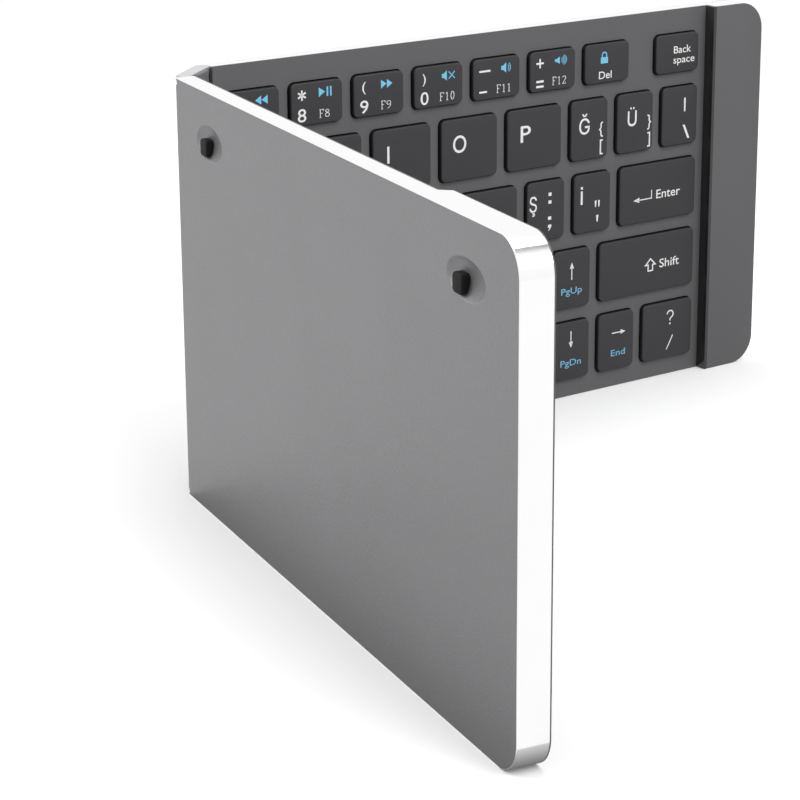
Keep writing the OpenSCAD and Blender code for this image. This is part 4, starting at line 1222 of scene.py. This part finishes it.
    def felt_end(self):
        """A short strip of the same painted shadow beyond the left panel's far end, seen only in mirrors: it darkens
        the lower polished corner.
        """
        k = sizes()
        sides = [-4 * MM, k.panel_thick + k.left_raise + 9 * MM]
        back, front = on_panel(LEFT, k.panel_length - k.corner, sides, 0.04 * MM)
        ahead, reach = np.array([-math.cos(FOLD), -math.sin(FOLD), 0.0]), k.corner + 7 * MM
        corners = [back, front, front + reach * ahead, back + reach * ahead]
        self.card("felt_end", corners, tone=0.12, out=ahead[:2], reach=reach, far=0.6)

    def camera(self):
        """A small shift of the lens sets the keyboard in the frame."""
        cam = bpy.data.cameras.new("camera")
        cam.sensor_width, cam.lens = 36.0, 113.87
        cam.shift_x, cam.shift_y = -0.0375, -0.0625
        cam.clip_start, cam.clip_end = 0.01, 50
        eye = bpy.data.objects.new("camera", cam)
        bpy.context.scene.collection.objects.link(eye)
        eye.location = (-0.49915, -0.12862, 0.18747)
        heading, pitch, roll = math.radians(14.453), math.radians(16.561), math.radians(-0.206)
        turn = Matrix.Rotation(heading - math.pi / 2, 3, "Z") @ Matrix.Rotation(math.pi / 2 - pitch, 3, "X")
        eye.rotation_euler = (turn @ Matrix.Rotation(roll, 3, "Z")).to_euler()
        bpy.context.scene.camera = eye

    def execute(self, context):
        bpy.context.scene.view_settings.view_transform = "Standard"
        self.floor()
        self.world()
        for name, lamp in LAMPS.items():
            self.lamp(name, *lamp)
        self.flag()
        # A painted shadow on the floor, seen only in mirrors
        self.felt()
        self.bounce()
        # Another painted shadow on the floor, seen only in mirrors
        self.felt_end()
        self.camera()
        return {"FINISHED"}


OPERATORS = (
    KEYBOARD_OT_back_plates,
    KEYBOARD_OT_edge_frames,
    KEYBOARD_OT_raised_ends,
    KEYBOARD_OT_feet,
    KEYBOARD_OT_keycaps,
    KEYBOARD_OT_switches,
    KEYBOARD_OT_spine_cover,
    KEYBOARD_OT_carried_nodes,
    KEYBOARD_OT_stage,
)


class KEYBOARD_PT_parts(bpy.types.Panel):
    """Lists the keyboard's parts, sizes and colours"""

    bl_idname = "KEYBOARD_PT_parts"
    bl_label = "Folding Keyboard"
    bl_space_type = "VIEW_3D"
    bl_region_type = "UI"
    bl_category = "Keyboard"

    def draw(self, context):
        for op in OPERATORS:
            self.layout.operator(op.bl_idname)
        for group in (context.scene.keyboard_sizes, context.scene.keyboard_colours):
            box = self.layout.box()
            for name in group.__annotations__:
                box.prop(group, name)


CLASSES = (KeyboardSizes, KeyboardColours, *OPERATORS, KEYBOARD_PT_parts)


def register():
    for cls in CLASSES:
        bpy.utils.register_class(cls)
    bpy.types.Scene.keyboard_sizes = PointerProperty(type=KeyboardSizes)
    bpy.types.Scene.keyboard_colours = PointerProperty(type=KeyboardColours)


def unregister():
    del bpy.types.Scene.keyboard_colours
    del bpy.types.Scene.keyboard_sizes
    for cls in reversed(CLASSES):
        bpy.utils.unregister_class(cls)


def main():
    register()
    bpy.ops.keyboard.back_plates()
    bpy.ops.keyboard.edge_frames()
    bpy.ops.keyboard.raised_ends()
    bpy.ops.keyboard.feet()
    bpy.ops.keyboard.keycaps()
    bpy.ops.keyboard.switches()
    bpy.ops.keyboard.spine_cover()
    bpy.ops.keyboard.carried_nodes()
    bpy.ops.keyboard.stage()


if __name__ == "__main__":
    main()
